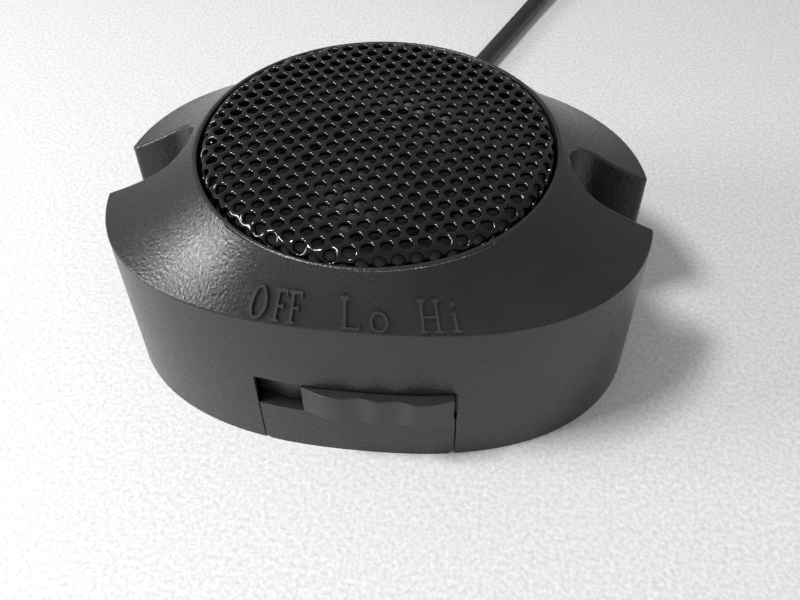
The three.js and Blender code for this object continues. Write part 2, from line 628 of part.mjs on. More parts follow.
// The rest of the lead is wound flat: its turns lie side by side in two layers. The laid stretch rises
// on to the upper layer in a straight line, and the lead's end leaves the lower one the same way.
const coilHalf = (COIL_TURNS_ACROSS * TURN_PITCH) / 2;
const outerTurn = COIL_MID_RADIUS + coilHalf - TURN_PITCH / 2;
const laidEnd = new THREE.Vector2(...CORD_ROUTE[CORD_ROUTE.length - 1]);
const heading = laidEnd.clone().sub(new THREE.Vector2(...CORD_ROUTE[CORD_ROUTE.length - 2])).normalize();
const aside = new THREE.Vector2(-heading.y, heading.x);
const nearSide = outerTurn - CORD_RADIUS;
const coilEdge = COIL_MID_RADIUS + coilHalf;
const lead = Math.sqrt(coilEdge ** 2 - nearSide ** 2) + GAP;
const coilCentre = laidEnd.clone().addScaledVector(heading, lead).addScaledVector(aside, outerTurn);
const coilTop = 2 * CORD_RADIUS + (COIL_LAYERS - 1) * TURN_PITCH + 0.02;
add('cord_grommet', cordGrommet(), MATERIALS.rubber, [0, 0, CORD_EXIT_HEIGHT]);
add('supply_cord', tube(CORD_ROUTE, CORD_RADIUS, 8, 34), MATERIALS.cord);
add('cord_coil', ring(COIL_MID_RADIUS - coilHalf, coilEdge, 0.02, coilTop),
  MATERIALS.cord, [coilCentre.x, coilCentre.y, 0]);

// The two stripped cores lie where the lead's end clears the coil.
const coreRadius = 0.8;
const bare = coilCentre.clone().addScaledVector(aside, -outerTurn).addScaledVector(heading, lead + 1);
[['core_plus', 1, 'red'], ['core_minus', -1, 'black']].forEach(([name, side, colour]) => {
  const points = [[0, 0.9], [4, 1.3], [9, 2.6]].map(([along, apart]) => {
    const point = bare.clone().addScaledVector(heading, along).addScaledVector(aside, side * apart);
    return [point.x, point.y, coreRadius + 0.1];
  });
  add(name, tube(points, coreRadius, 8, 6), MATERIALS[colour]);
});

export default tweeter;
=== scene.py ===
"""The visible model of a surface-mount car tweeter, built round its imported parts.

All lengths below are metres. +Z is up, +X is the right-hand end and -Y is the front, where the switch is.
"""

import math
from types import SimpleNamespace

import bmesh
import bpy
from mathutils import Matrix, Vector


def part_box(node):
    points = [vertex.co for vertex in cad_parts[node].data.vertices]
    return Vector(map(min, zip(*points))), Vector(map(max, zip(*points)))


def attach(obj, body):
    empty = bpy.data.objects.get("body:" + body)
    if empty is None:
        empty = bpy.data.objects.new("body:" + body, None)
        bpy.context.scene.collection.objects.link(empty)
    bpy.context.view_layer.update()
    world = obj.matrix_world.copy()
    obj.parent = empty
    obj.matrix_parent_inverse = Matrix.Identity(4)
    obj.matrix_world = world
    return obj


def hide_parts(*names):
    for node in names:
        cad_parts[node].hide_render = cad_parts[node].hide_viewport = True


bl_info = {
    "name": "Car tweeter",
    "version": (1, 0, 0),
    "blender": (4, 5, 0),
    "location": "View3D > Sidebar > Tweeter",
    "description": "Builds a surface-mount car tweeter with a perforated grille and a level switch",
    "category": "Object",
}

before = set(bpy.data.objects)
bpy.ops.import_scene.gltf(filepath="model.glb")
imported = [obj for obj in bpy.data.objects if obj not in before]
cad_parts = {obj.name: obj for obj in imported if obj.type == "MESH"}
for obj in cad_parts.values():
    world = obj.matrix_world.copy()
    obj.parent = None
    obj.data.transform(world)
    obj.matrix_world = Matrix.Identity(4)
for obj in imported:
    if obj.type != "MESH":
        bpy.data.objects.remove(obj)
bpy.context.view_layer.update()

MM = 0.001
SHELL_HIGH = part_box("housing_shell")[1]
HALF_LENGTH = SHELL_HIGH.x
HALF_WIDTH = SHELL_HIGH.y
RIM_HEIGHT = SHELL_HIGH.z
GRILLE_LOW, GRILLE_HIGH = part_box("grille")
KNOB_LOW, KNOB_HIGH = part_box("switch_knob")

# Switch: the knob's travel, its grip, the flange behind the wall and the socket for the slider.
KNOB_TRAVEL = 5.8 * MM
KNOB_MIDDLE = (KNOB_LOW.x + KNOB_HIGH.x) / 2
FLANGE_HALF = (KNOB_HIGH.x - KNOB_LOW.x) / 2
FLANGE_REACH = 24.6 * MM
GRIP_HALF = 9.5 * MM
RIB_PITCH = 4.8 * MM
RIB_RISE = 1.28 * MM
RIB_VALLEY = 0.42 * MM
GRIP_END_RISE = 0.05 * MM
SOCKET_HALF_WIDTH = 1.9 * MM
SOCKET_HALF_HEIGHT = 1.4 * MM
SOCKET_BOTTOM = -23.4 * MM
GUIDE_SKIN = 0.55 * MM
GUIDE_PLAY = 0.15 * MM

# Play between neighbouring parts.
GAP = 0.3 * MM

# Housing: the wall round a notch, the ledge under the grille, the top and the ears' holes.
NOTCH_WALL = 1.6 * MM
LEDGE_TOP = 26 * MM
LEDGE_BOTTOM = 23.8 * MM
LEDGE_RADIUS = 20 * MM
TOP_THICKNESS = 2.2 * MM
EAR_HOLE_X = 30.2 * MM
EAR_HOLE_RADIUS = 2.1 * MM

# Base plate and the driver's cloth.
PLATE_THICKNESS = 2.2 * MM
CLOTH = 0.3 * MM

# Grille: the crown's fall over its radius squared, the hole field's place and the rows' spacing to the pitch.
CROWN_FALL = 1.0
HOLE_PHASE = (0.59 * MM, 0.08 * MM, 0.0)
ROW_SHARE = math.sqrt(3) / 2

# Bush and screws.
BUSH_BORE = 1.75 * MM
BUSH_RIBS = 5
BASE_SCREW = SimpleNamespace(shank=1.0 * MM, head=1.9 * MM, head_height=1.1 * MM, length=8 * MM)
DRIVER_SCREW = SimpleNamespace(shank=0.65 * MM, head=1.2 * MM, head_height=0.6 * MM, length=3 * MM)
THREAD_PITCH = 0.55 * MM

# The bush's collar as (radius, distance beyond the rear wall's face), in millimetres.
BUSH_COLLAR_MM = ((3.7, -2.3), (2.5, -2.3), (2.5, 0.1), (3.7, 0.1), (3.7, 1.1), (3.55, 1.4))

# Each lamp's name, place and width. Its power is in the stage settings.
LIGHTS = (
    ("key", (-0.338, -0.08, 0.175), 0.135),
    ("top", (-0.185, -0.08, 0.39), 0.1),
    ("fill", (0.12, -0.28, 0.34), 0.3),
)
LIGHT_TARGET = Vector((0.0, 0.0, 0.015))


# ---- Sizes and colours that a user would change ----


def length(name, description, size):
    """A length that the user can change, given in millimetres."""
    return bpy.props.FloatProperty(name=name, description=description, default=size * MM, unit="LENGTH")


def number(name, description, default, **more):
    return bpy.props.FloatProperty(name=name, description=description, default=default, **more)


def colour(name, description, default):
    return bpy.props.FloatVectorProperty(name=name, description=description, default=default, subtype="COLOR")


class TweeterHousingSizes(bpy.types.PropertyGroup):
    """Sizes of the moulded housing."""

    oval_power: number("Oval power", "Squareness of the oval outline", 2.4, min=2.0, max=6.0)
    brim_front: length("Front brim", "Brim height at the front", 24.1)
    brim_end: length("End brim", "Brim height at the ends", 23.2)
    slope_dish: number("Slope dish", "How hollow the slope is between brim and rim", 0.3, min=0.0, max=1.0)
    wall: length("Wall", "Thickness of the moulded wall", 2)
    rim_radius: length("Rim radius", "Outer radius of the rim", 23.3)
    opening_radius: length("Opening radius", "Radius of the round opening", 22.8)
    notch_half_width: length("Notch half width", "Half the width of an end notch", 4.6)
    notch_centre: length("Notch centre", "Centre of a notch's round end", 29)
    notch_floor: length("Notch floor", "Thickness of the screw ear", 2.5)
    slot_half_length: length("Slot half length", "Half the switch slot's length", 12.7)
    slot_bottom: length("Slot bottom", "Height of the slot's lower edge", 7.8)
    slot_top: length("Slot top", "Height of the slot's upper edge", 13.1)
    edge_round: length("Edge round", "Radius of the softest moulded edges", 0.9)
    label_height: length("Label height", "Height of a raised capital letter", 4.35)
    label_lift: length("Label lift", "Distance from the brim up to the letters", 0.55)
    label_relief: length("Label relief", "How far the letters stand out", 0.38)


class TweeterGrilleSizes(bpy.types.PropertyGroup):
    """Sizes of the perforated grille."""

    pitch: length("Pitch", "Distance between hole centres", 2.14)
    hole_radius: length("Hole radius", "Radius of one hole", 0.73)
    sheet: length("Sheet", "Thickness of the steel sheet", 0.6)
    edge_roll: length("Hole edge", "Radius of a hole's painted edge", 0.29)
    turn: number("Turn", "Angle of the rows of holes", math.radians(14.8), subtype="ANGLE")
    bend: length("Bend", "Radius of the dish's rounded edge", 1.8)


class TweeterCordSizes(bpy.types.PropertyGroup):
    """Sizes of the lead."""

    diameter: length("Diameter", "Diameter of the jacket", 3.4)
    turn_pitch: length("Turn pitch", "Distance between turns", 3.45)
    coil_radius: length("Coil radius", "Radius of the coil's middle turn", 18)
    turns_across: bpy.props.IntProperty(
        name="Turns across", description="Turns side by side in one layer", default=5, min=2, max=12
    )


class TweeterColours(bpy.types.PropertyGroup):
    """Colours of the main finishes."""

    housing: colour("Housing", "Moulded housing", (0.0135, 0.014, 0.0142))
    grille: colour("Grille", "Painted grille", (0.0015, 0.0016, 0.0017))
    knob: colour("Knob", "Switch knob", (0.017, 0.0175, 0.018))
    cord: colour("Cord", "Jacket of the lead", (0.012, 0.012, 0.013))


class TweeterStageSettings(bpy.types.PropertyGroup):
    """Camera and lights."""

    lens: number("Lens", "Focal length", 39.9, subtype="DISTANCE_CAMERA")
    camera_place: bpy.props.FloatVectorProperty(
        name="Camera",
        description="Where the camera stands",
        default=(0.01399, -0.09054, 0.10017),
        subtype="XYZ",
    )
    camera_heading: number("Heading", "Turn of the view from +Y to +X", math.radians(-7.191), subtype="ANGLE")
    camera_dip: number("Dip", "Angle of the view below level", math.radians(47.316), subtype="ANGLE")
    camera_roll: number("Roll", "Roll of the camera", math.radians(-0.93), subtype="ANGLE")
    key_power: number("Key light", "Side window light", 0.95, unit="POWER")
    top_power: number("Top light", "Overhead lamp", 1.55, unit="POWER")
    fill_power: number("Fill light", "Front fill", 0.31, unit="POWER")
    sky_left: number("Left sky", "Even light from the left", 0.5)
    sky_right: number("Right sky", "Even light from the right", 0.32)


SETTINGS = {
    "tweeter_housing": TweeterHousingSizes,
    "tweeter_grille": TweeterGrilleSizes,
    "tweeter_cord": TweeterCordSizes,
    "tweeter_colours": TweeterColours,
    "tweeter_stage": TweeterStageSettings,
}


# ---- Making meshes ----


def linked(name, data):
    """A new object of the scene."""
    obj = bpy.data.objects.new(name, data)
    bpy.context.scene.collection.objects.link(obj)
    return obj


def plain_object(bm, name):
    mesh = bpy.data.meshes.new(name)
    bm.to_mesh(mesh)
    bm.free()
    return linked(name, mesh)


def object_from(bm, name, sharp_angle=35):
    """Turns a bmesh into a smooth object with sharp edges above an angle."""
    obj = plain_object(bm, name)
    obj.data.shade_smooth()
    obj.data.set_sharp_from_angle(angle=math.radians(sharp_angle))
    return obj


def piece_from(bm, name, finish, body, replaced=(), sharp_angle=35):
    """Turns a bmesh into a shown piece that rides on a CAD body."""
    obj = object_from(bm, name, sharp_angle)
    obj.data.materials.append(material(finish))
    return declare_piece(obj, body, replaced)


def declare_piece(obj, body, replaced=()):
    """Hangs a finished piece on the empty of the CAD body it rides on, and hides the CAD parts it stands for.
    """
    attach(obj, body)
    if replaced:
        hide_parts(*replaced)
    return obj


def box_centre(name):
    """The middle of a CAD node's box."""
    low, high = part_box(name)
    return (low + high) / 2


def add_grid(bm, rows, closed=False, skip=None):
    """Adds faces between rows of points. skip(row, column) leaves a face out."""
    made = [[bm.verts.new(point) for point in row] for row in rows]
    count = len(made[0])
    for r in range(len(made) - 1):
        for c in range(count if closed else count - 1):
            if skip and skip(r, c):
                continue
            following = (c + 1) % count
            bm.faces.new((made[r][c], made[r][following], made[r + 1][following], made[r + 1][c]))
    return made


def tidy_solid(bm, merge=1e-6):
    """Merges what touches, drops loose points and turns every face outwards."""
    bmesh.ops.remove_doubles(bm, verts=bm.verts[:], dist=merge)
    bmesh.ops.dissolve_degenerate(bm, edges=bm.edges[:], dist=merge / 10)
    loose = [vert for vert in bm.verts if not vert.link_faces]
    bmesh.ops.delete(bm, geom=loose, context="VERTS")
    bmesh.ops.recalc_face_normals(bm, faces=bm.faces[:])
    return bm


def ring_angles(steps):
    return [2 * math.pi * step / steps for step in range(steps)]


def moved(bm, x, y, z=0.0):
    bmesh.ops.translate(bm, verts=bm.verts[:], vec=(x, y, z))
    return bm


def rotated(bm, angle, axis):
    bmesh.ops.rotate(bm, verts=bm.verts[:], matrix=Matrix.Rotation(angle, 3, axis))
    return bm


def turned(points, steps=96):
    """A closed body turned from (radius, height) points, whose ends lie on the axis or meet."""
    bm = bmesh.new()
    angles = ring_angles(steps)
    rows = [[Vector((r * math.cos(a), r * math.sin(a), height)) for a in angles] for r, height in points]
    add_grid(bm, rows, closed=True)
    return tidy_solid(bm)


def arc_points(centre, radius, start, end, steps):
    """Points of an arc in a (radius, height) section, angles in degrees."""
    points = []
    for step in range(steps + 1):
        angle = math.radians(start + (end - start) * step / steps)
        points.append((centre[0] + radius * math.cos(angle), centre[1] + radius * math.sin(angle)))
    return points


def box_mesh(low, high):
    bm = bmesh.new()
    bmesh.ops.create_cube(bm, size=1)
    for vert in bm.verts:
        vert.co = [low[i] + (vert.co[i] + 0.5) * (high[i] - low[i]) for i in range(3)]
    return bm


def prism(outline, low, high):
    """An upright prism from a closed outline."""
    bm = bmesh.new()
    feet, tops = [[bm.verts.new((x, y, level)) for x, y in outline] for level in (low, high)]
    for i in range(len(outline)):
        j = (i + 1) % len(outline)
        bm.faces.new((feet[i], feet[j], tops[j], tops[i]))
    bm.faces.new(feet[::-1])
    bm.faces.new(tops)
    bmesh.ops.recalc_face_normals(bm, faces=bm.faces[:])
    return bm


def combined(bm, others, operation):
    """Joins closed bodies to bm, or cuts them from it."""
    base = plain_object(bm, "work_base")
    tools = [plain_object(other, "work_tool") for other in others]
    for tool in tools:
        cut = base.modifiers.new("cut", "BOOLEAN")
        cut.operation = operation
        cut.object = tool
        cut.solver = "EXACT"
    mesh = baked_mesh(base)
    result = bmesh.new()
    result.from_mesh(mesh)
    bpy.data.meshes.remove(mesh)
    for obj in [base, *tools]:
        bpy.data.objects.remove(obj)
    return result


def baked_mesh(obj):
    """The mesh that obj's modifiers give."""
    bpy.context.view_layer.update()
    depsgraph = bpy.context.evaluated_depsgraph_get()
    return bpy.data.meshes.new_from_object(obj.evaluated_get(depsgraph))


def apply_modifiers(obj):
    """Leaves obj with the mesh that its modifiers give, and none of them."""
    mesh = baked_mesh(obj)
    obj.modifiers.clear()
    obj.data = mesh
    return obj


def softened(obj, width, segments, angle):
    """Rounds the sharp edges of a simple piece."""
    bevel = obj.modifiers.new("round", "BEVEL")
    bevel.width = width
    bevel.segments = segments
    bevel.limit_method = "ANGLE"
    bevel.angle_limit = math.radians(angle)
    bevel.harden_normals = True


# ---- The housing's form ----


def outline_point(angle, inset):
    """The oval's point at a polar angle, moved inwards by inset."""
    power = bpy.context.scene.tweeter_housing.oval_power
    across, along = math.cos(angle), math.sin(angle)
    total = abs(across / HALF_LENGTH) ** power + abs(along / HALF_WIDTH) ** power
    radius = total ** (-1 / power)
    x, y = radius * across, radius * along
    slope_x = math.copysign(abs(x / HALF_LENGTH) ** power, x) / max(abs(x), 1e-12)
    slope_y = math.copysign(abs(y / HALF_WIDTH) ** power, y) / max(abs(y), 1e-12)
    scale = inset / math.hypot(slope_x, slope_y)
    return x - slope_x * scale, y - slope_y * scale


def brim_height(angle):
    sizes = bpy.context.scene.tweeter_housing
    return sizes.brim_front + (sizes.brim_end - sizes.brim_front) * math.cos(angle) ** 2


def crossing(test, low, high, steps=40):
    """Where test turns from true, at low, to false, at high."""
    for _ in range(steps):
        middle = (low + high) / 2
        if test(middle):
            low = middle
        else:
            high = middle
    return (low + high) / 2


class Skin:
    """One face of the housing's wall: a slope from the brim to a circle, above an upright wall."""

    def __init__(self, inset, drop, top_radius, top_height, notch_radius, floor, dish=0.0):
        self.inset = inset
        self.drop = drop
        self.top_radius = top_radius
        self.top_height = top_height
        self.notch_radius = notch_radius
        self.floor = floor
        self.dish = dish
        self.sizes = bpy.context.scene.tweeter_housing
        self.rises = self.slope_rises()
        self.shares = self.column_shares()

    def plan(self, rise, angle):
        x, y = outline_point(angle, self.inset)
        circle_x = self.top_radius * math.cos(angle)
        circle_y = self.top_radius * math.sin(angle)
        return x + (circle_x - x) * rise, y + (circle_y - y) * rise

    def height(self, rise, angle):
        brim = brim_height(angle) - self.drop
        share = rise - self.dish * rise * (1 - rise)
        return brim + (self.top_height - brim) * share

    def point(self, rise, angle):
        return Vector((*self.plan(rise, angle), self.height(rise, angle)))

    def in_notch(self, rise, angle):
        x, y = self.plan(rise, angle)
        beyond = x - self.sizes.notch_centre
        reach = abs(y) if beyond > 0 else math.hypot(beyond, y)
        return reach < self.notch_radius

    def notch_angle(self, rise):
        """The angle at which the curve at this rise leaves the notch, or 0."""
        if not self.in_notch(rise, 0.0):
            return 0.0
        return crossing(lambda angle: self.in_notch(rise, angle), 0.0, math.pi / 4)

    def notch_bearing(self, rise):
        """Where that point lies round the notch's end: 90 degrees at its side, 180 at its tip."""
        x, y = self.plan(rise, self.notch_angle(rise))
        return math.degrees(math.atan2(y, x - self.sizes.notch_centre))

    def slope_rises(self, straight=6, round_steps=9, upper=5):
        """Rises of the slope's rows, spaced evenly along the notch's edge."""
        rises = []
        side = crossing(lambda rise: self.notch_bearing(rise) < 90, 0.0, 0.98)
        rises += [side * step / straight for step in range(straight + 1)]
        tip = crossing(lambda rise: self.in_notch(rise, 0.0), 0.0, 1.0)
        for step in range(1, round_steps):
            bearing = 90 + 90 * step / round_steps
            rises.append(crossing(lambda rise: self.notch_bearing(rise) < bearing, side, tip - 1e-9))
        rises += [tip + 1e-9 + (1 - tip) * step / upper for step in range(upper)] + [1.0]
        return rises

    def column_shares(self, end_columns=36, slot_columns=34):
        """Places of the columns from one notch to the other, with two of them at the slot's ends."""
        start = self.notch_angle(0.0)
        half = self.sizes.slot_half_length
        edge = crossing(lambda angle: self.plan(0.0, angle)[0] > half, start, math.pi / 2)
        share = (edge - start) / (math.pi - 2 * start)
        self.slot_columns = (end_columns, end_columns + slot_columns)
        shares = [share * step / end_columns for step in range(end_columns)]
        shares += [share + (1 - 2 * share) * step / slot_columns for step in range(slot_columns)]
        shares += [1 - share + share * step / end_columns for step in range(end_columns + 1)]
        return shares

    def angles(self, rise):
        start = self.notch_angle(rise)
        return [start + share * (math.pi - 2 * start) for share in self.shares]

    def levels(self, low, high):
        """Heights of the upright wall's rows, with one at the slot's top."""
        above = [self.sizes.slot_top + (high - self.sizes.slot_top) * step / 3 for step in (1, 2)]
        marks = [0.0, self.sizes.notch_floor, self.sizes.slot_bottom, self.sizes.slot_top, *above, high]
        return [mark for mark in marks if mark >= low - 1e-9]

    def edge_column(self, rise, side, half):
        """The upright line under the slope's edge at the notch."""
        x, y = self.plan(rise, self.notch_angle(rise))
        top = self.height(rise, self.notch_angle(rise))
        return [Vector((side * x, half * y, level)) for level in self.levels(self.floor, top)]

    def add_to(self, bm):
        for half in (1, -1):
            slope = []
            for rise in self.rises:
                row = [self.point(rise, angle) for angle in self.angles(rise)]
                slope.append([Vector((p.x, half * p.y, p.z)) for p in row])
            add_grid(bm, slope)
            feet = [self.plan(0.0, angle) for angle in self.angles(0.0)]
            tops = [self.height(0.0, angle) for angle in self.angles(0.0)]
            columns = [
                [Vector((x, half * y, level)) for level in self.levels(0.0, top)]
                for (x, y), top in zip(feet, tops)
            ]
            first, last = self.slot_columns
            open_rows = 3
            in_slot = lambda column, row: half < 0 and first <= column < last and row < open_rows
            add_grid(bm, columns, skip=in_slot)
            for side in (1, -1):
                notch_rises = [rise for rise in self.rises if self.in_notch(rise, 0.0)]
                last_rise = next(rise for rise in self.rises if not self.in_notch(rise, 0.0))
                upright = [self.edge_column(rise, side, half) for rise in [*notch_rises, last_rise]]
                add_grid(bm, upright)

    def slot_edge(self):
        """The slot's edge on this skin: up one side, along the top and down the other."""
        angles = self.angles(0.0)
        first, last = self.slot_columns
        sides = self.levels(0.0, self.sizes.slot_top + 1)[:4]
        plan = [self.plan(0.0, angle) for angle in angles[first : last + 1]]
        right = [Vector((plan[0][0], -plan[0][1], level)) for level in sides]
        top = [Vector((x, -y, self.sizes.slot_top)) for x, y in plan]
        left = [Vector((plan[-1][0], -plan[-1][1], level)) for level in reversed(sides)]
        return right + top[1:-1] + left

    def circle(self, radius, height):
        """A full circle with the columns' angles, rear half first."""
        angles = self.angles(1.0)
        full = angles + [-angle for angle in reversed(angles[1:-1])]
        return [Vector((radius * math.cos(a), radius * math.sin(a), height)) for a in full]


def outer_skin():
    sizes = bpy.context.scene.tweeter_housing
    notch, floor = sizes.notch_half_width, sizes.notch_floor
    return Skin(0.0, 0.0, sizes.rim_radius, RIM_HEIGHT, notch, floor, sizes.slope_dish)


def inner_skin():
    sizes = bpy.context.scene.tweeter_housing
    pocket = sizes.notch_half_width + NOTCH_WALL
    return Skin(sizes.wall, TOP_THICKNESS, sizes.opening_radius - 0.6 * MM, LEDGE_BOTTOM, pocket, 0.0)


def fill_flat(bm, height, wanted):
    """Closes the open edges that lie at one height."""
    edges = []
    for edge in bm.edges:
        if not edge.is_boundary:
            continue
        if all(abs(vert.co.z - height) < 1e-7 and wanted(vert.co) for vert in edge.verts):
            edges.append(edge)
    bmesh.ops.triangle_fill(bm, edges=edges, use_beauty=True, normal=(0, 0, 1))


def housing_body():
    sizes = bpy.context.scene.tweeter_housing
    outer, inner = outer_skin(), inner_skin()
    bm = bmesh.new()
    outer.add_to(bm)
    inner.add_to(bm)
    rings = [
        outer.circle(sizes.rim_radius, RIM_HEIGHT),
        outer.circle(sizes.opening_radius, RIM_HEIGHT),
        outer.circle(sizes.opening_radius, LEDGE_TOP),
        outer.circle(LEDGE_RADIUS, LEDGE_TOP),
        outer.circle(LEDGE_RADIUS, LEDGE_BOTTOM),
        inner.circle(inner.top_radius, LEDGE_BOTTOM),
    ]
    add_grid(bm, rings, closed=True)
    add_grid(bm, [outer.slot_edge(), inner.slot_edge()])
    start = outer.notch_angle(0.0)
    for side in (1, -1):
        ear = [outline_point(start * (1 - step / 6), 0.0) for step in range(13)]
        hole = [(EAR_HOLE_RADIUS * math.cos(a), EAR_HOLE_RADIUS * math.sin(a)) for a in ring_angles(32)]
        faces = (0.0, sizes.notch_floor)
        add_grid(bm, [[Vector((side * x, y, level)) for x, y in ear] for level in faces])
        bore = [[Vector((side * EAR_HOLE_X + x, y, level)) for x, y in hole] for level in faces]
        add_grid(bm, bore, closed=True)
    bmesh.ops.remove_doubles(bm, verts=bm.verts[:], dist=1e-6)
    fill_flat(bm, 0.0, lambda co: True)
    fill_flat(bm, sizes.notch_floor, lambda co: abs(co.x) > 20 * MM)
    tidy_solid(bm)
    thin_guide(bm)
    return bm


def wall_front(x):
    """How far forward the outer face of the front wall is at x."""
    power = bpy.context.scene.tweeter_housing.oval_power
    return HALF_WIDTH * (1 - abs(x / HALF_LENGTH) ** power) ** (1 / power)


def thin_guide(bm):
    """Hollows the inner wall where the knob's flange slides behind the slot."""
    reach = FLANGE_HALF + KNOB_TRAVEL / 2 + GAP
    low, high = KNOB_LOW.z - 0.5 * MM, KNOB_HIGH.z + 0.9 * MM
    for vert in bm.verts:
        co = vert.co
        face = -min(FLANGE_REACH + GUIDE_PLAY, wall_front(co.x) - GUIDE_SKIN)
        on_inner_wall = -wall_front(co.x) + 0.8 * MM < co.y < -HALF_WIDTH + 7 * MM
        if on_inner_wall and abs(co.x) < reach and low < co.z < high:
            co.y = min(co.y, face)


def edge_share(middle, upright):
    """How strongly an edge is rounded, as a share of the softest edges' radius."""
    sizes = bpy.context.scene.tweeter_housing
    at_notch_side = abs(abs(middle.y) - sizes.notch_half_width) < 0.4 * MM and abs(middle.x) > 33 * MM
    round_notch = abs(middle.x) > 24 * MM and abs(middle.y) < 5 * MM
    if middle.z < 0.1 * MM:
        return 0.15
    if upright and at_notch_side:
        return 1.0
    if round_notch and middle.z > sizes.notch_floor + 0.1 * MM:
        return 0.4
    if middle.z > RIM_HEIGHT - 0.1 * MM:
        return 0.24
    if middle.z > sizes.brim_end - 0.5 * MM:
        return 0.2
    return 0.11


def weigh_edges(bm, sharp=math.radians(28)):
    """Marks how strongly each sharp edge is rounded: most at the notches' upright corners."""
    layer = bm.edges.layers.float.new("bevel_weight_edge")
    for edge in bm.edges:
        if len(edge.link_faces) == 2 and edge.calc_face_angle(0.0) >= sharp:
            a, b = edge.verts[0].co, edge.verts[1].co
            upright = abs(a.z - b.z) > 4 * abs((a - b).to_2d().length)
            edge[layer] = edge_share((a + b) / 2, upright)


# ---- Raised letters ----

# Each letter of OFF, Lo and Hi with the place of its middle or first stem, in millimetres.
LETTERS = (("O", -11.1), ("F", -8.75), ("F", -6.85), ("L", -0.5), ("o", 3.5), ("H", 8.55), ("i", 12.4))

STEM = 0.36
FOOT = 0.34
SERIF = 0.06


def serif_stem(x, top):
    """An upright stroke with a foot at each end, as one closed outline."""
    half = STEM / 2
    wide = half + FOOT
    foot = [(wide, 0), (wide, SERIF), (half, SERIF + 0.04)]
    head = [(across, top - up) for across, up in reversed(foot)]
    right = foot + head
    return [(x - wide, 0)] + [(x + across, up) for across, up in right] + [
        (x - across, up) for across, up in reversed(right[1:])
    ]


FLAG = [(0.18, 0.62), (-0.42, 0.62), (-0.42, 0.57), (-0.18, 0.53), (-0.18, 0.1), (-0.52, 0.06)]


def arm(x0, x1, bottom, top, tip_down=0.0, tip_up=0.0):
    """A level stroke whose right end may hook down or up."""
    inner = x1 - 0.28
    under = [(x0, bottom), (inner, bottom), (x1, bottom - tip_down)]
    return under + [(x1, top + tip_up), (inner, top), (x0, top)]


def ring(x, middle, across, up, steps=40):
    """A closed oval."""
    return [(x + across * math.cos(angle), middle + up * math.sin(angle)) for angle in ring_angles(steps)]


def letter_parts(letter):
    """Closed outlines of one letter, in millimetres across and shares of the capital height up."""
    stem = [serif_stem(0.0, 1.0)]
    if letter == "O":
        return [[ring(0.0, 0.5, 1.1, 0.52), ring(0.0, 0.5, 0.68, 0.45)]]
    if letter == "o":
        return [[ring(0.0, 0.31, 1.12, 0.33), ring(0.0, 0.31, 0.74, 0.27)]]
    if letter == "F":
        return [stem, [arm(0.1, 1.2, 0.93, 1.0, 0.13)], [arm(0.1, 0.85, 0.48, 0.55, 0.06, 0.06)]]
    if letter == "L":
        return [stem, [arm(0.1, 1.75, 0.0, 0.07, 0.0, 0.15)]]
    if letter == "H":
        return [stem, [serif_stem(1.8, 1.0)], [arm(0.1, 1.8, 0.47, 0.53)]]
    return [[serif_stem(0.0, 0.62)[:5] + FLAG], [ring(0.0, 0.84, 0.27, 0.062, 16)]]


def letter_solid(parts):
    """The union of a letter's outlines as one flat plate, cut finely enough to follow a curved face."""
    whole = None
    for rings in parts:
        plate = prism(rings[0], 0.0, 1.0)
        if len(rings) > 1:
            plate = combined(plate, [prism(rings[1], -1.0, 2.0)], "DIFFERENCE")
        whole = plate if whole is None else combined(whole, [plate], "UNION")
    for axis, spacing in ((0, 0.3), (1, 0.08)):
        normal = Vector((1.0 - axis, float(axis), 0.0))
        for step in range(-5, 14):
            geometry = whole.verts[:] + whole.edges[:] + whole.faces[:]
            place = normal * step * spacing
            bmesh.ops.bisect_plane(whole, geom=geometry, dist=1e-6, plane_co=place, plane_no=normal)
    return whole


def slope_frame(skin, across, up):
    """The front slope's point at x = across and a distance up from the brim, and its normal."""
    angle = crossing(lambda a: skin.plan(0.0, a)[0] > across, 0.5, math.pi - 0.5)
    length = (skin.point(1.0, angle) - skin.point(0.0, angle)).length
    rise = up / length
    point = skin.point(rise, angle)
    along = skin.point(rise, angle + 0.01) - skin.point(rise, angle - 0.01)
    upwards = skin.point(rise + 0.02, angle) - skin.point(rise - 0.02, angle)
    normal = along.cross(upwards).normalized()
    point.y, normal.y = -point.y, -normal.y
    if normal.z < 0:
        normal.negate()
    return point, normal


def add_letter(bm, skin, letter, across):
    """Raises one letter on the front slope, just above the brim."""
    sizes = bpy.context.scene.tweeter_housing
    plate = letter_solid(letter_parts(letter))
    for vert in plate.verts:
        up = sizes.label_lift + vert.co.y * sizes.label_height
        point, normal = slope_frame(skin, across + vert.co.x * MM, up)
        lift = sizes.label_relief if vert.co.z > 0.5 else -0.1 * MM
        vert.co = point + normal * lift
    bmesh.ops.recalc_face_normals(plate, faces=plate.faces[:])
    mesh = bpy.data.meshes.new("work_letter")
    plate.to_mesh(mesh)
    plate.free()
    bm.from_mesh(mesh)
    bpy.data.meshes.remove(mesh)


# ---- Materials ----


def node(tree, kind, links=(), **settings):
    """A new node with its settings, its inputs linked or set from (socket, source) pairs."""
    made = tree.nodes.new(kind)
    for key, value in settings.items():
        setattr(made, key, value)
    for socket, source in links:
        if isinstance(source, bpy.types.NodeSocket):
            tree.links.new(source, made.inputs[socket])
        else:
            made.inputs[socket].default_value = source
    return made


# Where most of a pattern's values lie.
PATTERN_LOW = 0.3
PATTERN_HIGH = 0.7


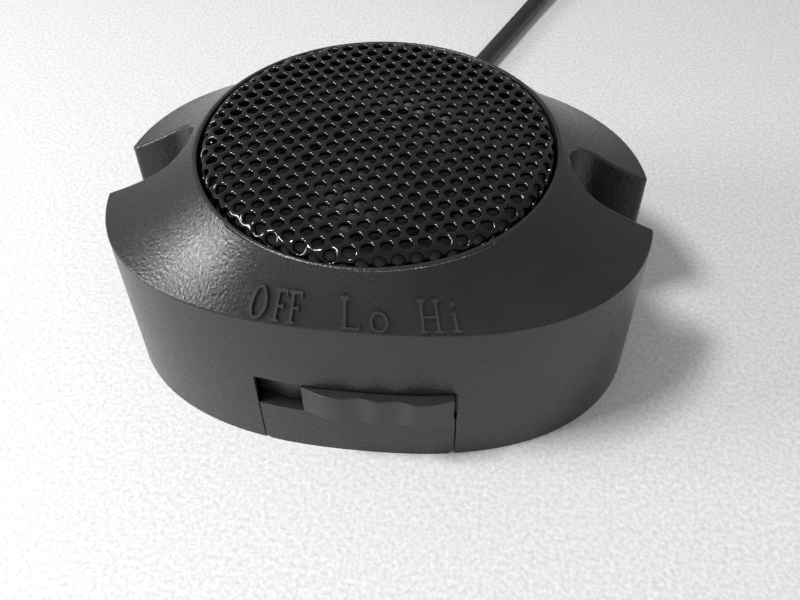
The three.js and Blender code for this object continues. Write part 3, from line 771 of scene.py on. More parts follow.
class Finish:
    """A material built from a Principled shader and patterns in object space."""

    def __init__(self, name, colour, roughness, metallic=0.0):
        self.material = bpy.data.materials.new(name)
        self.material.use_nodes = True
        self.tree = self.material.node_tree
        self.shader = self.tree.nodes["Principled BSDF"]
        self.colour = tuple(colour)
        self.set(Base_Color=(*self.colour, 1), Roughness=roughness, Metallic=metallic)
        self.place = node(self.tree, "ShaderNodeTexCoord").outputs["Object"]
        self.relief = None

    def set(self, **values):
        """Sets shader sockets by name, with spaces as underscores."""
        for name, value in values.items():
            self.shader.inputs[name.replace("_", " ")].default_value = value

    def noise(self, size, detail=3.0, roughness=0.55, stretch=(1, 1, 1)):
        """A noise whose features are about size across."""
        stretched = node(self.tree, "ShaderNodeMapping", [("Vector", self.place), ("Scale", stretch)])
        return node(self.tree, "ShaderNodeTexNoise", [
            ("Vector", stretched.outputs["Vector"]), ("Scale", 1 / size),
            ("Detail", detail), ("Roughness", roughness),
        ]).outputs["Fac"]

    def bands(self, size, direction):
        """Even bands about size across."""
        return node(self.tree, "ShaderNodeTexWave", [
            ("Vector", self.place), ("Scale", 1 / (math.pi * size)),
        ], bands_direction=direction).outputs["Fac"]

    def vary_roughness(self, pattern, low, high):
        spread = node(self.tree, "ShaderNodeMapRange", [
            ("Value", pattern), ("From Min", PATTERN_LOW), ("From Max", PATTERN_HIGH),
            ("To Min", low), ("To Max", high),
        ])
        self.tree.links.new(spread.outputs["Result"], self.shader.inputs["Roughness"])

    def vary_colour(self, pattern, dark, light):
        """Moves the colour between dark and light times itself."""
        ramp = node(self.tree, "ShaderNodeValToRGB", [("Fac", pattern)])
        for stop, place, times in zip(ramp.color_ramp.elements, (PATTERN_LOW, PATTERN_HIGH), (dark, light)):
            stop.position = place
            stop.color = (*[min(1, c * times) for c in self.colour], 1)
        self.tree.links.new(ramp.outputs["Color"], self.shader.inputs["Base Color"])

    def bump(self, pattern, depth, strength=1.0):
        """Adds relief of about depth on top of any that is there already."""
        made = node(self.tree, "ShaderNodeBump", [
            ("Strength", strength), ("Distance", depth), ("Height", pattern),
        ])
        if self.relief:
            self.tree.links.new(self.relief, made.inputs["Normal"])
        self.relief = made.outputs["Normal"]
        self.tree.links.new(self.relief, self.shader.inputs["Normal"])


def spark_plastic():
    """Moulded ABS with a fine spark-eroded grain."""
    finish = Finish("spark_plastic", bpy.context.scene.tweeter_colours.housing, 0.26)
    finish.vary_colour(finish.noise(6 * MM, 4), 0.9, 1.12)
    finish.vary_roughness(finish.noise(0.5 * MM, 2), 0.24, 0.36)
    finish.bump(finish.noise(0.4 * MM, 2, 0.6), 0.075 * MM, 1.0)
    finish.bump(finish.noise(2.5 * MM, 2), 0.03 * MM, 0.3)
    return finish.material


def gloss_paint():
    """Thick gloss paint over punched steel."""
    finish = Finish("gloss_paint", bpy.context.scene.tweeter_colours.grille, 0.08)
    finish.vary_roughness(finish.noise(0.9 * MM, 3), 0.05, 0.11)
    finish.bump(finish.noise(0.8 * MM, 2), 0.02 * MM, 0.4)
    return finish.material


def satin_plastic():
    finish = Finish("satin_plastic", bpy.context.scene.tweeter_colours.knob, 0.32)
    finish.vary_colour(finish.noise(3 * MM, 3), 0.9, 1.15)
    finish.vary_roughness(finish.noise(0.4 * MM, 3), 0.26, 0.38)
    finish.bump(finish.noise(0.22 * MM, 3), 0.02 * MM, 0.5)
    return finish.material


def polished_plastic():
    """The housing's plastic on the letters: smoother, with a colour lightened as painted highlight for the
    light caught on the letters' edges.
    """
    finish = Finish("polished_plastic", bpy.context.scene.tweeter_colours.housing, 0.26)
    # Painted highlight: the letters' colour is 1.8 to 2.4 times the housing's, standing in for light caught
    # on their edges.
    finish.vary_colour(finish.noise(2 * MM, 3), 1.8, 2.4)
    finish.vary_roughness(finish.noise(0.5 * MM, 3), 0.22, 0.32)
    finish.bump(finish.noise(0.3 * MM, 3), 0.02 * MM, 0.5)
    return finish.material


def cord_jacket():
    finish = Finish("cord_jacket", bpy.context.scene.tweeter_colours.cord, 0.42)
    finish.vary_colour(finish.noise(5 * MM, 4), 0.85, 1.25)
    finish.vary_roughness(finish.noise(0.8 * MM, 3), 0.32, 0.5)
    finish.bump(finish.noise(0.5 * MM, 4, 0.6), 0.03 * MM, 0.5)
    return finish.material


def moulded_frame():
    finish = Finish("moulded_frame", (0.02, 0.02, 0.021), 0.5)
    finish.vary_roughness(finish.noise(0.6 * MM, 3), 0.4, 0.6)
    finish.bump(finish.noise(0.3 * MM, 3), 0.03 * MM, 0.4)
    return finish.material


def plated_steel():
    finish = Finish("plated_steel", (0.58, 0.59, 0.6), 0.3, 1.0)
    finish.vary_colour(finish.noise(3 * MM, 4), 0.85, 1.08)
    finish.vary_roughness(finish.noise(0.3 * MM, 4, 0.6, (1, 1, 6)), 0.22, 0.42)
    finish.bump(finish.noise(0.25 * MM, 3, 0.6, (1, 1, 5)), 0.01 * MM, 0.4)
    return finish.material


def blackened_steel():
    """Oxide-blacked screws, dull enough not to show behind the grille."""
    finish = Finish("blackened_steel", (0.02, 0.02, 0.022), 0.5, 0.6)
    finish.vary_roughness(finish.noise(0.3 * MM, 4, 0.6, (1, 1, 6)), 0.42, 0.6)
    finish.bump(finish.noise(0.25 * MM, 3, 0.6, (1, 1, 5)), 0.01 * MM, 0.4)
    return finish.material


def plain_brass():
    finish = Finish("plain_brass", (0.72, 0.53, 0.23), 0.3, 1.0)
    finish.vary_colour(finish.noise(1.5 * MM, 4), 0.75, 1.1)
    finish.vary_roughness(finish.noise(0.3 * MM, 3), 0.24, 0.42)
    return finish.material


def copper_winding():
    finish = Finish("copper_winding", (0.62, 0.25, 0.12), 0.28, 1.0)
    winding = finish.bands(0.16 * MM, "Z")
    finish.vary_colour(winding, 0.55, 1.1)
    finish.bump(winding, 0.05 * MM, 0.9)
    return finish.material


def ground_ferrite():
    finish = Finish("ground_ferrite", (0.035, 0.035, 0.038), 0.55)
    finish.vary_colour(finish.noise(1.2 * MM, 5), 0.7, 1.4)
    finish.vary_roughness(finish.noise(0.5 * MM, 4), 0.4, 0.7)
    finish.bump(finish.noise(0.3 * MM, 4), 0.03 * MM, 0.5)
    return finish.material


def woven_silk(name, colour):
    """Coated weave in two crossed sets of threads."""
    finish = Finish(name, colour, 0.5)
    finish.bump(finish.bands(0.22 * MM, "X"), 0.02 * MM, 0.5)
    finish.bump(finish.bands(0.22 * MM, "Y"), 0.02 * MM, 0.5)
    finish.vary_colour(finish.noise(2 * MM, 4), 0.85, 1.2)
    finish.set(Sheen_Weight=0.15, Sheen_Roughness=0.4)
    return finish.material


def wool_felt():
    finish = Finish("wool_felt", (0.055, 0.055, 0.052), 0.95)
    finish.vary_colour(finish.noise(0.5 * MM, 5, 0.7), 0.6, 1.5)
    finish.bump(finish.noise(0.25 * MM, 5, 0.7), 0.12 * MM, 0.9)
    finish.set(Sheen_Weight=0.3)
    return finish.material


def phenolic_board():
    finish = Finish("phenolic_board", (0.26, 0.13, 0.05), 0.5)
    finish.vary_colour(finish.noise(1.2 * MM, 5, 0.6, (1, 4, 1)), 0.7, 1.25)
    finish.bump(finish.noise(0.4 * MM, 3, 0.6, (1, 5, 1)), 0.02 * MM, 0.4)
    return finish.material


def shrink_sleeve():
    finish = Finish("shrink_sleeve", (0.02, 0.055, 0.2), 0.25)
    finish.vary_roughness(finish.noise(1.2 * MM, 3), 0.18, 0.35)
    finish.bump(finish.noise(2.5 * MM, 3), 0.04 * MM, 0.4)
    return finish.material


def glazed_body():
    finish = Finish("glazed_body", (0.66, 0.62, 0.5), 0.45)
    finish.vary_colour(finish.noise(1.5 * MM, 4), 0.88, 1.06)
    finish.bump(finish.noise(0.4 * MM, 4), 0.04 * MM, 0.5)
    return finish.material


def soft_rubber():
    finish = Finish("soft_rubber", (0.013, 0.013, 0.013), 0.6)
    finish.vary_roughness(finish.noise(0.8 * MM, 4), 0.5, 0.75)
    finish.bump(finish.noise(0.35 * MM, 3), 0.03 * MM, 0.5)
    return finish.material


def core_insulation(name, colour):
    finish = Finish(name, colour, 0.35)
    finish.vary_colour(finish.noise(2 * MM, 3), 0.85, 1.15)
    finish.bump(finish.noise(0.6 * MM, 3), 0.02 * MM, 0.4)
    return finish.material


def pale_floor():
    finish = Finish("pale_floor", (0.61, 0.614, 0.618), 0.7)
    finish.vary_colour(finish.noise(0.6 * MM, 3), 0.82, 1.1)
    finish.bump(finish.noise(0.7 * MM, 3), 0.12 * MM, 0.7)
    return finish.material


MAKERS = {
    "spark_plastic": spark_plastic,
    "gloss_paint": gloss_paint,
    "satin_plastic": satin_plastic,
    "polished_plastic": polished_plastic,
    "cord_jacket": cord_jacket,
    "moulded_frame": moulded_frame,
    "plated_steel": plated_steel,
    "blackened_steel": blackened_steel,
    "plain_brass": plain_brass,
    "copper_winding": copper_winding,
    "ground_ferrite": ground_ferrite,
    "dome_silk": lambda: woven_silk("dome_silk", (0.022, 0.019, 0.017)),
    "surround_cloth": lambda: woven_silk("surround_cloth", (0.014, 0.014, 0.014)),
    "wool_felt": wool_felt,
    "phenolic_board": phenolic_board,
    "shrink_sleeve": shrink_sleeve,
    "glazed_body": glazed_body,
    "soft_rubber": soft_rubber,
    "red_insulation": lambda: core_insulation("red_insulation", (0.42, 0.018, 0.015)),
    "black_insulation": lambda: core_insulation("black_insulation", (0.016, 0.016, 0.017)),
    "pale_floor": pale_floor,
}


def material(name):
    """The named material, made the first time it is asked for."""
    return bpy.data.materials.get(name) or MAKERS[name]()


# ---- Copies placed by Geometry Nodes ----


def new_tree(name, inputs):
    """An empty geometry tree with named inputs, given as (name, socket type)."""
    tree = bpy.data.node_groups.new(name, "GeometryNodeTree")
    tree.interface.new_socket("Geometry", in_out="OUTPUT", socket_type="NodeSocketGeometry")
    tree.interface.new_socket("Geometry", in_out="INPUT", socket_type="NodeSocketGeometry")
    for label, kind in inputs:
        tree.interface.new_socket(label, in_out="INPUT", socket_type=kind)
    group_in = tree.nodes.new("NodeGroupInput")
    group_out = tree.nodes.new("NodeGroupOutput")
    return tree, group_in, group_out


def calculated(tree, operation, first, second):
    """The result of a Math node."""
    return node(tree, "ShaderNodeMath", [(0, first), (1, second)], operation=operation).outputs[0]


def hole_field_tree():
    """Copies of one pierced cell in staggered rows, joined into one sheet."""
    tree, group_in, group_out = new_tree("hole_field", [
        ("Cell", "NodeSocketObject"), ("Pitch", "NodeSocketFloat"), ("Count", "NodeSocketInt"),
        ("Reach", "NodeSocketFloat"), ("Turn", "NodeSocketFloat"), ("Phase", "NodeSocketVector"),
        ("Material", "NodeSocketMaterial"),
    ])
    given = group_in.outputs
    pitch, count = given["Pitch"], given["Count"]
    width = calculated(tree, "MULTIPLY", calculated(tree, "SUBTRACT", count, 1.0), pitch)
    depth = calculated(tree, "MULTIPLY", width, ROW_SHARE)
    grid = node(tree, "GeometryNodeMeshGrid", [
        ("Size X", width), ("Size Y", depth), ("Vertices X", count), ("Vertices Y", count),
    ]).outputs["Mesh"]
    index = node(tree, "GeometryNodeInputIndex").outputs[0]
    row = calculated(tree, "MODULO", index, count)
    odd = calculated(tree, "MODULO", row, 2.0)
    shift = calculated(tree, "MULTIPLY", odd, calculated(tree, "MULTIPLY", pitch, 0.5))
    offset = node(tree, "ShaderNodeCombineXYZ", [("X", shift)]).outputs[0]
    staggered = node(tree, "GeometryNodeSetPosition", [("Geometry", grid), ("Offset", offset)])
    position = node(tree, "GeometryNodeInputPosition").outputs[0]
    length = node(tree, "ShaderNodeVectorMath", [(0, position)], operation="LENGTH").outputs["Value"]
    far = calculated(tree, "GREATER_THAN", length, given["Reach"])
    kept = node(tree, "GeometryNodeDeleteGeometry", [("Geometry", staggered.outputs[0]), ("Selection", far)])
    cell = node(tree, "GeometryNodeObjectInfo", [("Object", given["Cell"])]).outputs["Geometry"]
    copies = node(tree, "GeometryNodeInstanceOnPoints", [("Points", kept.outputs[0]), ("Instance", cell)])
    solid = node(tree, "GeometryNodeRealizeInstances", [("Geometry", copies.outputs[0])])
    merged = node(tree, "GeometryNodeMergeByDistance", [("Geometry", solid.outputs[0]), ("Distance", 1e-6)])
    turn = node(tree, "ShaderNodeCombineXYZ", [("Z", given["Turn"])]).outputs[0]
    placed = node(tree, "GeometryNodeTransform", [
        ("Geometry", merged.outputs[0]), ("Rotation", turn), ("Translation", given["Phase"]),
    ])
    painted = node(tree, "GeometryNodeSetMaterial", [
        ("Geometry", placed.outputs[0]), ("Material", given["Material"]),
    ])
    tree.links.new(painted.outputs[0], group_out.inputs[0])
    return tree


def copies_tree():
    """One part copied to each point of a mesh."""
    tree, group_in, group_out = new_tree("placed_copies", [
        ("Part", "NodeSocketObject"), ("Material", "NodeSocketMaterial"),
    ])
    part = node(tree, "GeometryNodeObjectInfo", [("Object", group_in.outputs["Part"])]).outputs["Geometry"]
    points = group_in.outputs["Geometry"]
    copies = node(tree, "GeometryNodeInstanceOnPoints", [("Points", points), ("Instance", part)])
    solid = node(tree, "GeometryNodeRealizeInstances", [("Geometry", copies.outputs[0])])
    painted = node(tree, "GeometryNodeSetMaterial", [
        ("Geometry", solid.outputs[0]), ("Material", group_in.outputs["Material"]),
    ])
    tree.links.new(painted.outputs[0], group_out.inputs[0])
    return tree


def run_tree(name, tree, points, values):
    """Runs a tree on a mesh of points and gives the plain mesh object that results."""
    mesh = bpy.data.meshes.new(name)
    mesh.from_pydata(points, [], [])
    obj = linked(name, mesh)
    modifier = obj.modifiers.new("build", "NODES")
    modifier.node_group = tree
    identifiers = {item.name: item.identifier for item in tree.interface.items_tree if item.in_out == "INPUT"}
    for label, value in values.items():
        modifier[identifiers[label]] = value
    return apply_modifiers(obj)


def pierced_cell(sizes, sides=24, arc_steps=4):
    """A six-sided tile of the sheet with one hole whose edges are rounded by the paint."""
    half, roll = sizes.sheet / 2, sizes.edge_roll
    angles = ring_angles(sides)
    sector = math.pi / 3
    hexagon = [sizes.pitch / 2 / math.cos(angle - round(angle / sector) * sector) for angle in angles]
    section = [(hexagon, half)]
    for step in range(arc_steps + 1):
        bend = math.pi / 2 * step / arc_steps
        radius = sizes.hole_radius + roll * (1 - math.sin(bend))
        section.append(([radius] * sides, half - roll * (1 - math.cos(bend))))
    section += [([sizes.hole_radius] * sides, -half), (hexagon, -half)]
    rows = []
    for radii, height in section:
        rows.append([(r * math.cos(a), r * math.sin(a), height) for r, a in zip(radii, angles)])
    bm = bmesh.new()
    add_grid(bm, rows, closed=True)
    bmesh.ops.recalc_face_normals(bm, faces=bm.faces[:])
    if max(bm.faces, key=lambda face: face.calc_center_median().z).normal.z < 0:
        bmesh.ops.reverse_faces(bm, faces=bm.faces[:])
    return bm


def close_sheet_edge(bm):
    """Closes the outer edge of a sheet whose two faces end above each other."""
    edges = [edge for edge in bm.edges if edge.is_boundary and edge.verts[0].co.z > 0]
    below = {}
    for vert in bm.verts:
        if vert.is_boundary and vert.co.z < 0:
            below[(round(vert.co.x, 7), round(vert.co.y, 7))] = vert
    for edge in edges:
        a, b = edge.verts
        mates = [min(below.values(), key=lambda v: (v.co.to_2d() - end.co.to_2d()).length) for end in (b, a)]
        bm.faces.new((a, b, mates[0], mates[1]))
    bmesh.ops.recalc_face_normals(bm, faces=bm.faces[:])


class Dish:
    """The grille's section: a shallow crown, a rounded edge and a short skirt."""

    def __init__(self):
        sizes = bpy.context.scene.tweeter_grille
        self.bend = sizes.bend - sizes.sheet / 2
        self.edge = GRILLE_HIGH.x - sizes.sheet / 2
        self.crown_radius = self.edge - self.bend
        self.top = GRILLE_HIGH.z - sizes.sheet / 2
        self.arc = self.bend * math.pi / 2
        self.shoulder = self.top - self.crown_drop(self.crown_radius) - self.bend
        self.skirt = self.shoulder - (GRILLE_LOW.z + 0.1 * MM)
        self.reach = self.crown_radius + self.arc + self.skirt

    def crown_drop(self, radius):
        return CROWN_FALL * radius * radius

    def place(self, co):
        """Where a point of the flat sheet goes."""
        flat = math.hypot(co.x, co.y)
        if flat < 1e-9:
            return Vector((0.0, 0.0, self.top + co.z))
        across = Vector((co.x / flat, co.y / flat, 0.0))
        up = Vector((0.0, 0.0, 1.0))
        if flat <= self.crown_radius:
            slope = 2 * CROWN_FALL * flat
            normal = (up + across * slope).normalized()
            return across * flat + up * (self.top - self.crown_drop(flat)) + normal * co.z
        angle = min((flat - self.crown_radius) / self.bend, math.pi / 2)
        below = max(0.0, flat - self.crown_radius - self.arc)
        normal = across * math.sin(angle) + up * math.cos(angle)
        return across * self.crown_radius + up * (self.shoulder - below) + normal * (self.bend + co.z)


# ---- The lead's route ----

CORD_ROUTE_MM = [
    (0, 21.4, 7), (0, 28.5, 7), (0, 35, 7), (0.7, 40.5, 6), (2.5, 45.5, 4),
    (4.9, 50.5, 2.3), (7.4, 55.8, 1.75), (9.8, 61.1, 1.75), (12.2, 66.7, 1.75), (15.7, 75, 1.75),
    (19.3, 83.5, 1.75), (23, 92.1, 2), (26.5, 100.3, 3.2),
]


def between(a, b, start, end, t):
    """The point on the line through a, at start, and b, at end."""
    return a * ((end - t) / (end - start)) + b * ((t - start) / (end - start))


def smooth_through(points, step):
    """Centripetal curve through the points, sampled about every step."""
    ends = [points[0] * 2 - points[1], *points, points[-1] * 2 - points[-2]]
    out = []
    for i in range(1, len(ends) - 2):
        p0, p1, p2, p3 = ends[i - 1 : i + 3]
        k0 = 0.0
        k1 = k0 + (p1 - p0).length ** 0.5
        k2 = k1 + (p2 - p1).length ** 0.5
        k3 = k2 + (p3 - p2).length ** 0.5
        count = max(2, round((p2 - p1).length / step))
        for k in range(count):
            t = k1 + (k2 - k1) * k / count
            a1, a2, a3 = between(p0, p1, k0, k1, t), between(p1, p2, k1, k2, t), between(p2, p3, k2, k3, t)
            b1, b2 = between(a1, a2, k0, k2, t), between(a2, a3, k1, k3, t)
            out.append(between(b1, b2, k1, k2, t))
    out.append(points[-1].copy())
    return out


def eased(share):
    share = max(0.0, min(1.0, share))
    return share * share * (3 - 2 * share)


def coil_points(centre, start_angle, sizes):
    """The wound stretch: in along the upper layer, down at the innermost turn and out along the lower one."""
    per_turn = 48
    gaps = sizes.turns_across - 1
    outer = sizes.coil_radius + gaps / 2 * sizes.turn_pitch
    floor_level = sizes.diameter / 2 + 0.05 * MM
    upper_level = floor_level + sizes.turn_pitch
    total = 2 * gaps + 1
    points = []
    for step in range(total * per_turn + 1):
        turn = step / per_turn
        wound_in = min(turn, gaps) - max(0.0, turn - gaps - 1)
        radius = outer - wound_in * sizes.turn_pitch
        height = upper_level + (floor_level - upper_level) * eased(turn - gaps)
        angle = start_angle + turn * 2 * math.pi
        points.append(centre + Vector((radius * math.cos(angle), radius * math.sin(angle), height)))
    return points


def lead_points(sizes):
    """The whole centreline: the laid stretch, the coil and the end that leaves it."""
    route = [Vector(point) * MM for point in CORD_ROUTE_MM]
    heading = (route[-1] - route[-2]).to_2d().normalized()
    aside = Vector((-heading.y, heading.x))
    half_width = sizes.turns_across * sizes.turn_pitch / 2
    outer = sizes.coil_radius + half_width - sizes.turn_pitch / 2
    edge = sizes.coil_radius + half_width
    lead = math.sqrt(edge**2 - (outer - sizes.diameter / 2) ** 2) + 0.3 * MM
    centre = route[-1].to_2d() + heading * lead + aside * outer
    start_angle = math.atan2(-aside.y, -aside.x)
    coil = coil_points(Vector((*centre, 0.0)), start_angle, sizes)
    laid = smooth_through([*route, coil[0]], 1.2 * MM)
    leaving = Vector((*heading, 0.0))
    tail = [coil[-1] + leaving * (lead - 0.4 * MM) * step / 8 for step in range(1, 9)]
    return laid[:-1] + coil + tail


# ---- Operators ----


class TWEETER_OT_stage(bpy.types.Operator):
    """Adds the floor, the lights and the camera."""

    bl_idname = "tweeter.stage"
    bl_label = "Stage"

    def execute(self, context):
        settings = context.scene.tweeter_stage
        self.add_floor()
        self.add_camera(context, settings)
        for name, place, size in LIGHTS:
            light = self.add_light(name, place, size, getattr(settings, name + "_power"))
            # The fill lifts the shadows without being seen in reflections.
            light.visible_glossy = name != "fill"
        context.scene.world = self.side_lit_world(settings)
        context.scene.view_settings.view_transform = "Standard"
        return {"FINISHED"}

    def side_lit_world(self, settings):
        """An even surrounding light that fades from the left to the right."""
        world = bpy.data.worlds.new("side_light")
        world.use_nodes = True
        tree = world.node_tree
        background = tree.nodes["Background"]
        background.inputs["Color"].default_value = (0.94, 0.97, 1.0, 1)
        direction = node(tree, "ShaderNodeTexCoord").outputs["Generated"]
        across = node(tree, "ShaderNodeSeparateXYZ", [("Vector", direction)]).outputs["X"]
        strength = node(tree, "ShaderNodeMapRange", [
            ("Value", across), ("From Min", -0.8), ("From Max", 0.8),
            ("To Min", settings.sky_left), ("To Max", settings.sky_right),
        ])
        tree.links.new(strength.outputs["Result"], background.inputs["Strength"])
        return world

    def add_floor(self):
        bm = bmesh.new()
        bmesh.ops.create_grid(bm, x_segments=4, y_segments=4, size=2.0)
        floor = plain_object(bm, "floor")
        floor.data.materials.append(material("pale_floor"))

    def add_camera(self, context, settings):
        heading, dip, roll = settings.camera_heading, settings.camera_dip, settings.camera_roll
        flat = math.cos(dip)
        forward = Vector((math.sin(heading) * flat, math.cos(heading) * flat, -math.sin(dip)))
        level = Vector((math.cos(heading), -math.sin(heading), 0.0))
        upright = level.cross(forward)
        right = level * math.cos(roll) + upright * math.sin(roll)
        up = upright * math.cos(roll) - level * math.sin(roll)
        data = bpy.data.cameras.new("camera")
        data.lens = settings.lens
        data.sensor_width = 36.0
        data.clip_start = 0.005
        camera = linked("camera", data)
        turned_by = Matrix((right, up, -forward)).transposed()
        camera.matrix_world = Matrix.Translation(settings.camera_place) @ turned_by.to_4x4()
        context.scene.camera = camera

    def add_light(self, name, place, size, power):
        data = bpy.data.lights.new(name, "AREA")
        data.shape = "RECTANGLE"
        data.size = size
        data.size_y = size * 0.7
        data.energy = power
        light = linked(name, data)
        light.location = place
        light.rotation_euler = (LIGHT_TARGET - Vector(place)).to_track_quat("-Z", "Y").to_euler()
        return light


class TWEETER_OT_cord(bpy.types.Operator):
    """Lays the round lead, winds its spare length and adds its rubber bush."""

    bl_idname = "tweeter.cord"
    bl_label = "Cord"

    def execute(self, context):
        sizes = context.scene.tweeter_cord
        points = lead_points(sizes)
        curve = bpy.data.curves.new("supply_lead", "CURVE")
        curve.dimensions = "3D"
        curve.bevel_depth = sizes.diameter / 2
        curve.bevel_resolution = 5
        curve.use_fill_caps = True
        spline = curve.splines.new("POLY")
        spline.points.add(len(points) - 1)
        for target, point in zip(spline.points, points):
            target.co = (*point, 1.0)
        lead = linked("supply_lead", curve)
        curve.materials.append(material("cord_jacket"))
        declare_piece(lead, "enclosure", ("supply_cord", "cord_coil"))
        bush = self.add_bush()
        return {"FINISHED"}

    def add_bush(self):
        """The rubber strain relief: a flanged bush with a ribbed taper."""
        low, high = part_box("cord_grommet")
        points = [(BUSH_BORE, low.y), (3.6 * MM, low.y), (3.7 * MM, low.y + 0.15 * MM)]
        points += [(radius * MM, HALF_WIDTH + beyond * MM) for radius, beyond in BUSH_COLLAR_MM]
        start, end = HALF_WIDTH + 1.6 * MM, high.y - 0.6 * MM
        step = (end - start) / BUSH_RIBS
        for rib in range(BUSH_RIBS):
            at = start + step * rib
            crest = (3.2 - 0.75 * rib / BUSH_RIBS) * MM
            valley = crest - 0.35 * MM
            points += [(crest, at), (crest, at + step * 0.6)]
            points += [(valley, at + step * 0.68), (valley, at + step * 0.95)]
        points += [(2.4 * MM, end), (2.3 * MM, high.y - 0.1 * MM), (2.1 * MM, high.y)]
        points += [(BUSH_BORE, high.y), (BUSH_BORE, low.y)]
        bm = moved(rotated(turned(points, 64), -math.pi / 2, "X"), 0.0, 0.0, (low.z + high.z) / 2)
        return piece_from(bm, "cord_bush", "soft_rubber", "enclosure", ("cord_grommet",))


class TWEETER_OT_housing(bpy.types.Operator):
    """Builds the moulded housing with its notches, slot and raised labels."""

    bl_idname = "tweeter.housing"
    bl_label = "Housing"

    def execute(self, context):
        bm = housing_body()
        weigh_edges(bm)
        open_edges = [edge for edge in bm.edges if edge.is_boundary]
        if open_edges:
            raise RuntimeError(f"the housing has {len(open_edges)} open edges")
        obj = piece_from(bm, "housing", "spark_plastic", "enclosure", ("housing_shell",))
        bevel = obj.modifiers.new("round", "BEVEL")
        bevel.width = context.scene.tweeter_housing.edge_round
        bevel.segments = 3
        bevel.limit_method = "WEIGHT"
        bevel.use_clamp_overlap = False
        bevel.harden_normals = True
        self.add_labels()
        return {"FINISHED"}

    def add_labels(self):
        bm = bmesh.new()
        skin = outer_skin()
        for letter, across in LETTERS:
            add_letter(bm, skin, letter, across * MM)
        # The letters' finish is lighter than the housing's as painted highlight on their edges.
        obj = piece_from(bm, "switch_labels", "polished_plastic", "enclosure", (), 25)
        softened(obj, 0.14 * MM, 3, 50)


class TWEETER_OT_base(bpy.types.Operator):
    """Builds the base plate with the tongue under the switch slot."""

    bl_idname = "tweeter.base"
    bl_label = "Base plate"

    def execute(self, context):
        sizes = context.scene.tweeter_housing
        rim = [outline_point(angle, sizes.wall + GAP) for angle in ring_angles(240)]
        half = sizes.slot_half_length - 0.14 * MM
        plate = combined(prism(rim, 0.0, PLATE_THICKNESS), [self.tongue(half)], "UNION")
        cuts = [self.notch_cut(side) for side in (1, -1)]
        cuts += [self.corner_nick(side * half) for side in (1, -1)]
        cuts += [self.screw_sink(box_centre(f"base_screw_{index}")) for index in range(1, 5)]
        plate = combined(plate, cuts, "DIFFERENCE")
        bmesh.ops.remove_doubles(plate, verts=plate.verts[:], dist=1e-6)
        obj = piece_from(plate, "base_cover", "spark_plastic", "enclosure", ("base_plate",))
        softened(obj, 0.12 * MM, 2, 40)
        return {"FINISHED"}

    def corner_nick(self, x, half=0.5 * MM):
        """A slanted bar that bevels one lower corner of the tongue."""
        bar = box_mesh((-half, -HALF_WIDTH - MM, -half), (half, -HALF_WIDTH + 4 * MM, half))
        return moved(rotated(bar, math.pi / 4, "Y"), x, 0.0)

    def screw_sink(self, centre, head=2.1 * MM, hole=1.3 * MM, depth=1.1 * MM):
        """A countersunk hole under the plate."""
        above = PLATE_THICKNESS + 0.8 * MM
        section = [(0.0, -MM), (head, -MM), (head, 0.0), (hole, depth), (hole, above), (0.0, above)]
        return moved(turned(section, 48), centre.x, centre.y)

    def tongue(self, half):
        """The curved tab that fills the lower part of the front cut-out, flush with the wall."""
        sizes = bpy.context.scene.tweeter_housing
        edge = crossing(lambda angle: outline_point(angle, 0.0)[0] > half, 0.0, math.pi / 2)
        angles = [edge + (math.pi - 2 * edge) * step / 48 for step in range(49)]
        outer = [outline_point(angle, 0.02 * MM) for angle in angles]
        inner = [outline_point(angle, sizes.wall + 0.4 * MM) for angle in reversed(angles)]
        outline = [(x, -y) for x, y in outer + inner]
        return prism(outline, 0.0, sizes.slot_bottom)

    def notch_cut(self, side):
        """Clears the plate round one notch's pocket."""
        sizes = bpy.context.scene.tweeter_housing
        radius = sizes.notch_half_width + NOTCH_WALL + GAP
        far = HALF_LENGTH + 10 * MM
        outline = [(far, radius)]
        for step in range(33):
            angle = math.pi / 2 + math.pi * step / 32
            outline.append((sizes.notch_centre + radius * math.cos(angle), radius * math.sin(angle)))
        outline.append((far, -radius))
        return prism([(side * x, y) for x, y in outline], -MM, 4 * MM)


class TWEETER_OT_grille(bpy.types.Operator):
    """Punches the sheet, cuts it round and presses it into a dish."""

    bl_idname = "tweeter.grille"
    bl_label = "Grille"

    def execute(self, context):
        sizes = context.scene.tweeter_grille
        dish = Dish()
        cell = object_from(pierced_cell(sizes), "grille_cell")
        rows = 2 * math.ceil(dish.reach / (sizes.pitch * ROW_SHARE)) + 7
        sheet = run_tree("grille_sheet", hole_field_tree(), [(0.0, 0.0, 0.0)], {
            "Cell": cell,
            "Pitch": sizes.pitch,
            "Count": rows,
            "Reach": dish.reach + 1.2 * sizes.pitch,
            "Turn": sizes.turn,
            "Phase": HOLE_PHASE,
            "Material": material("gloss_paint"),
        })
        bm = bmesh.new()
        bm.from_mesh(sheet.data)
        close_sheet_edge(bm)
        disc = turned([(0.0, -2 * MM), (dish.reach, -2 * MM), (dish.reach, 2 * MM), (0.0, 2 * MM)], 240)
        bm = combined(bm, [disc], "INTERSECT")
        for vert in bm.verts:
            vert.co = dish.place(vert.co)
        bpy.data.objects.remove(cell)
        bpy.data.objects.remove(sheet)
        tidy_solid(bm, 2e-6)
        piece_from(bm, "grille_mesh", "gloss_paint", "enclosure", ("grille",), 40)
        return {"FINISHED"}


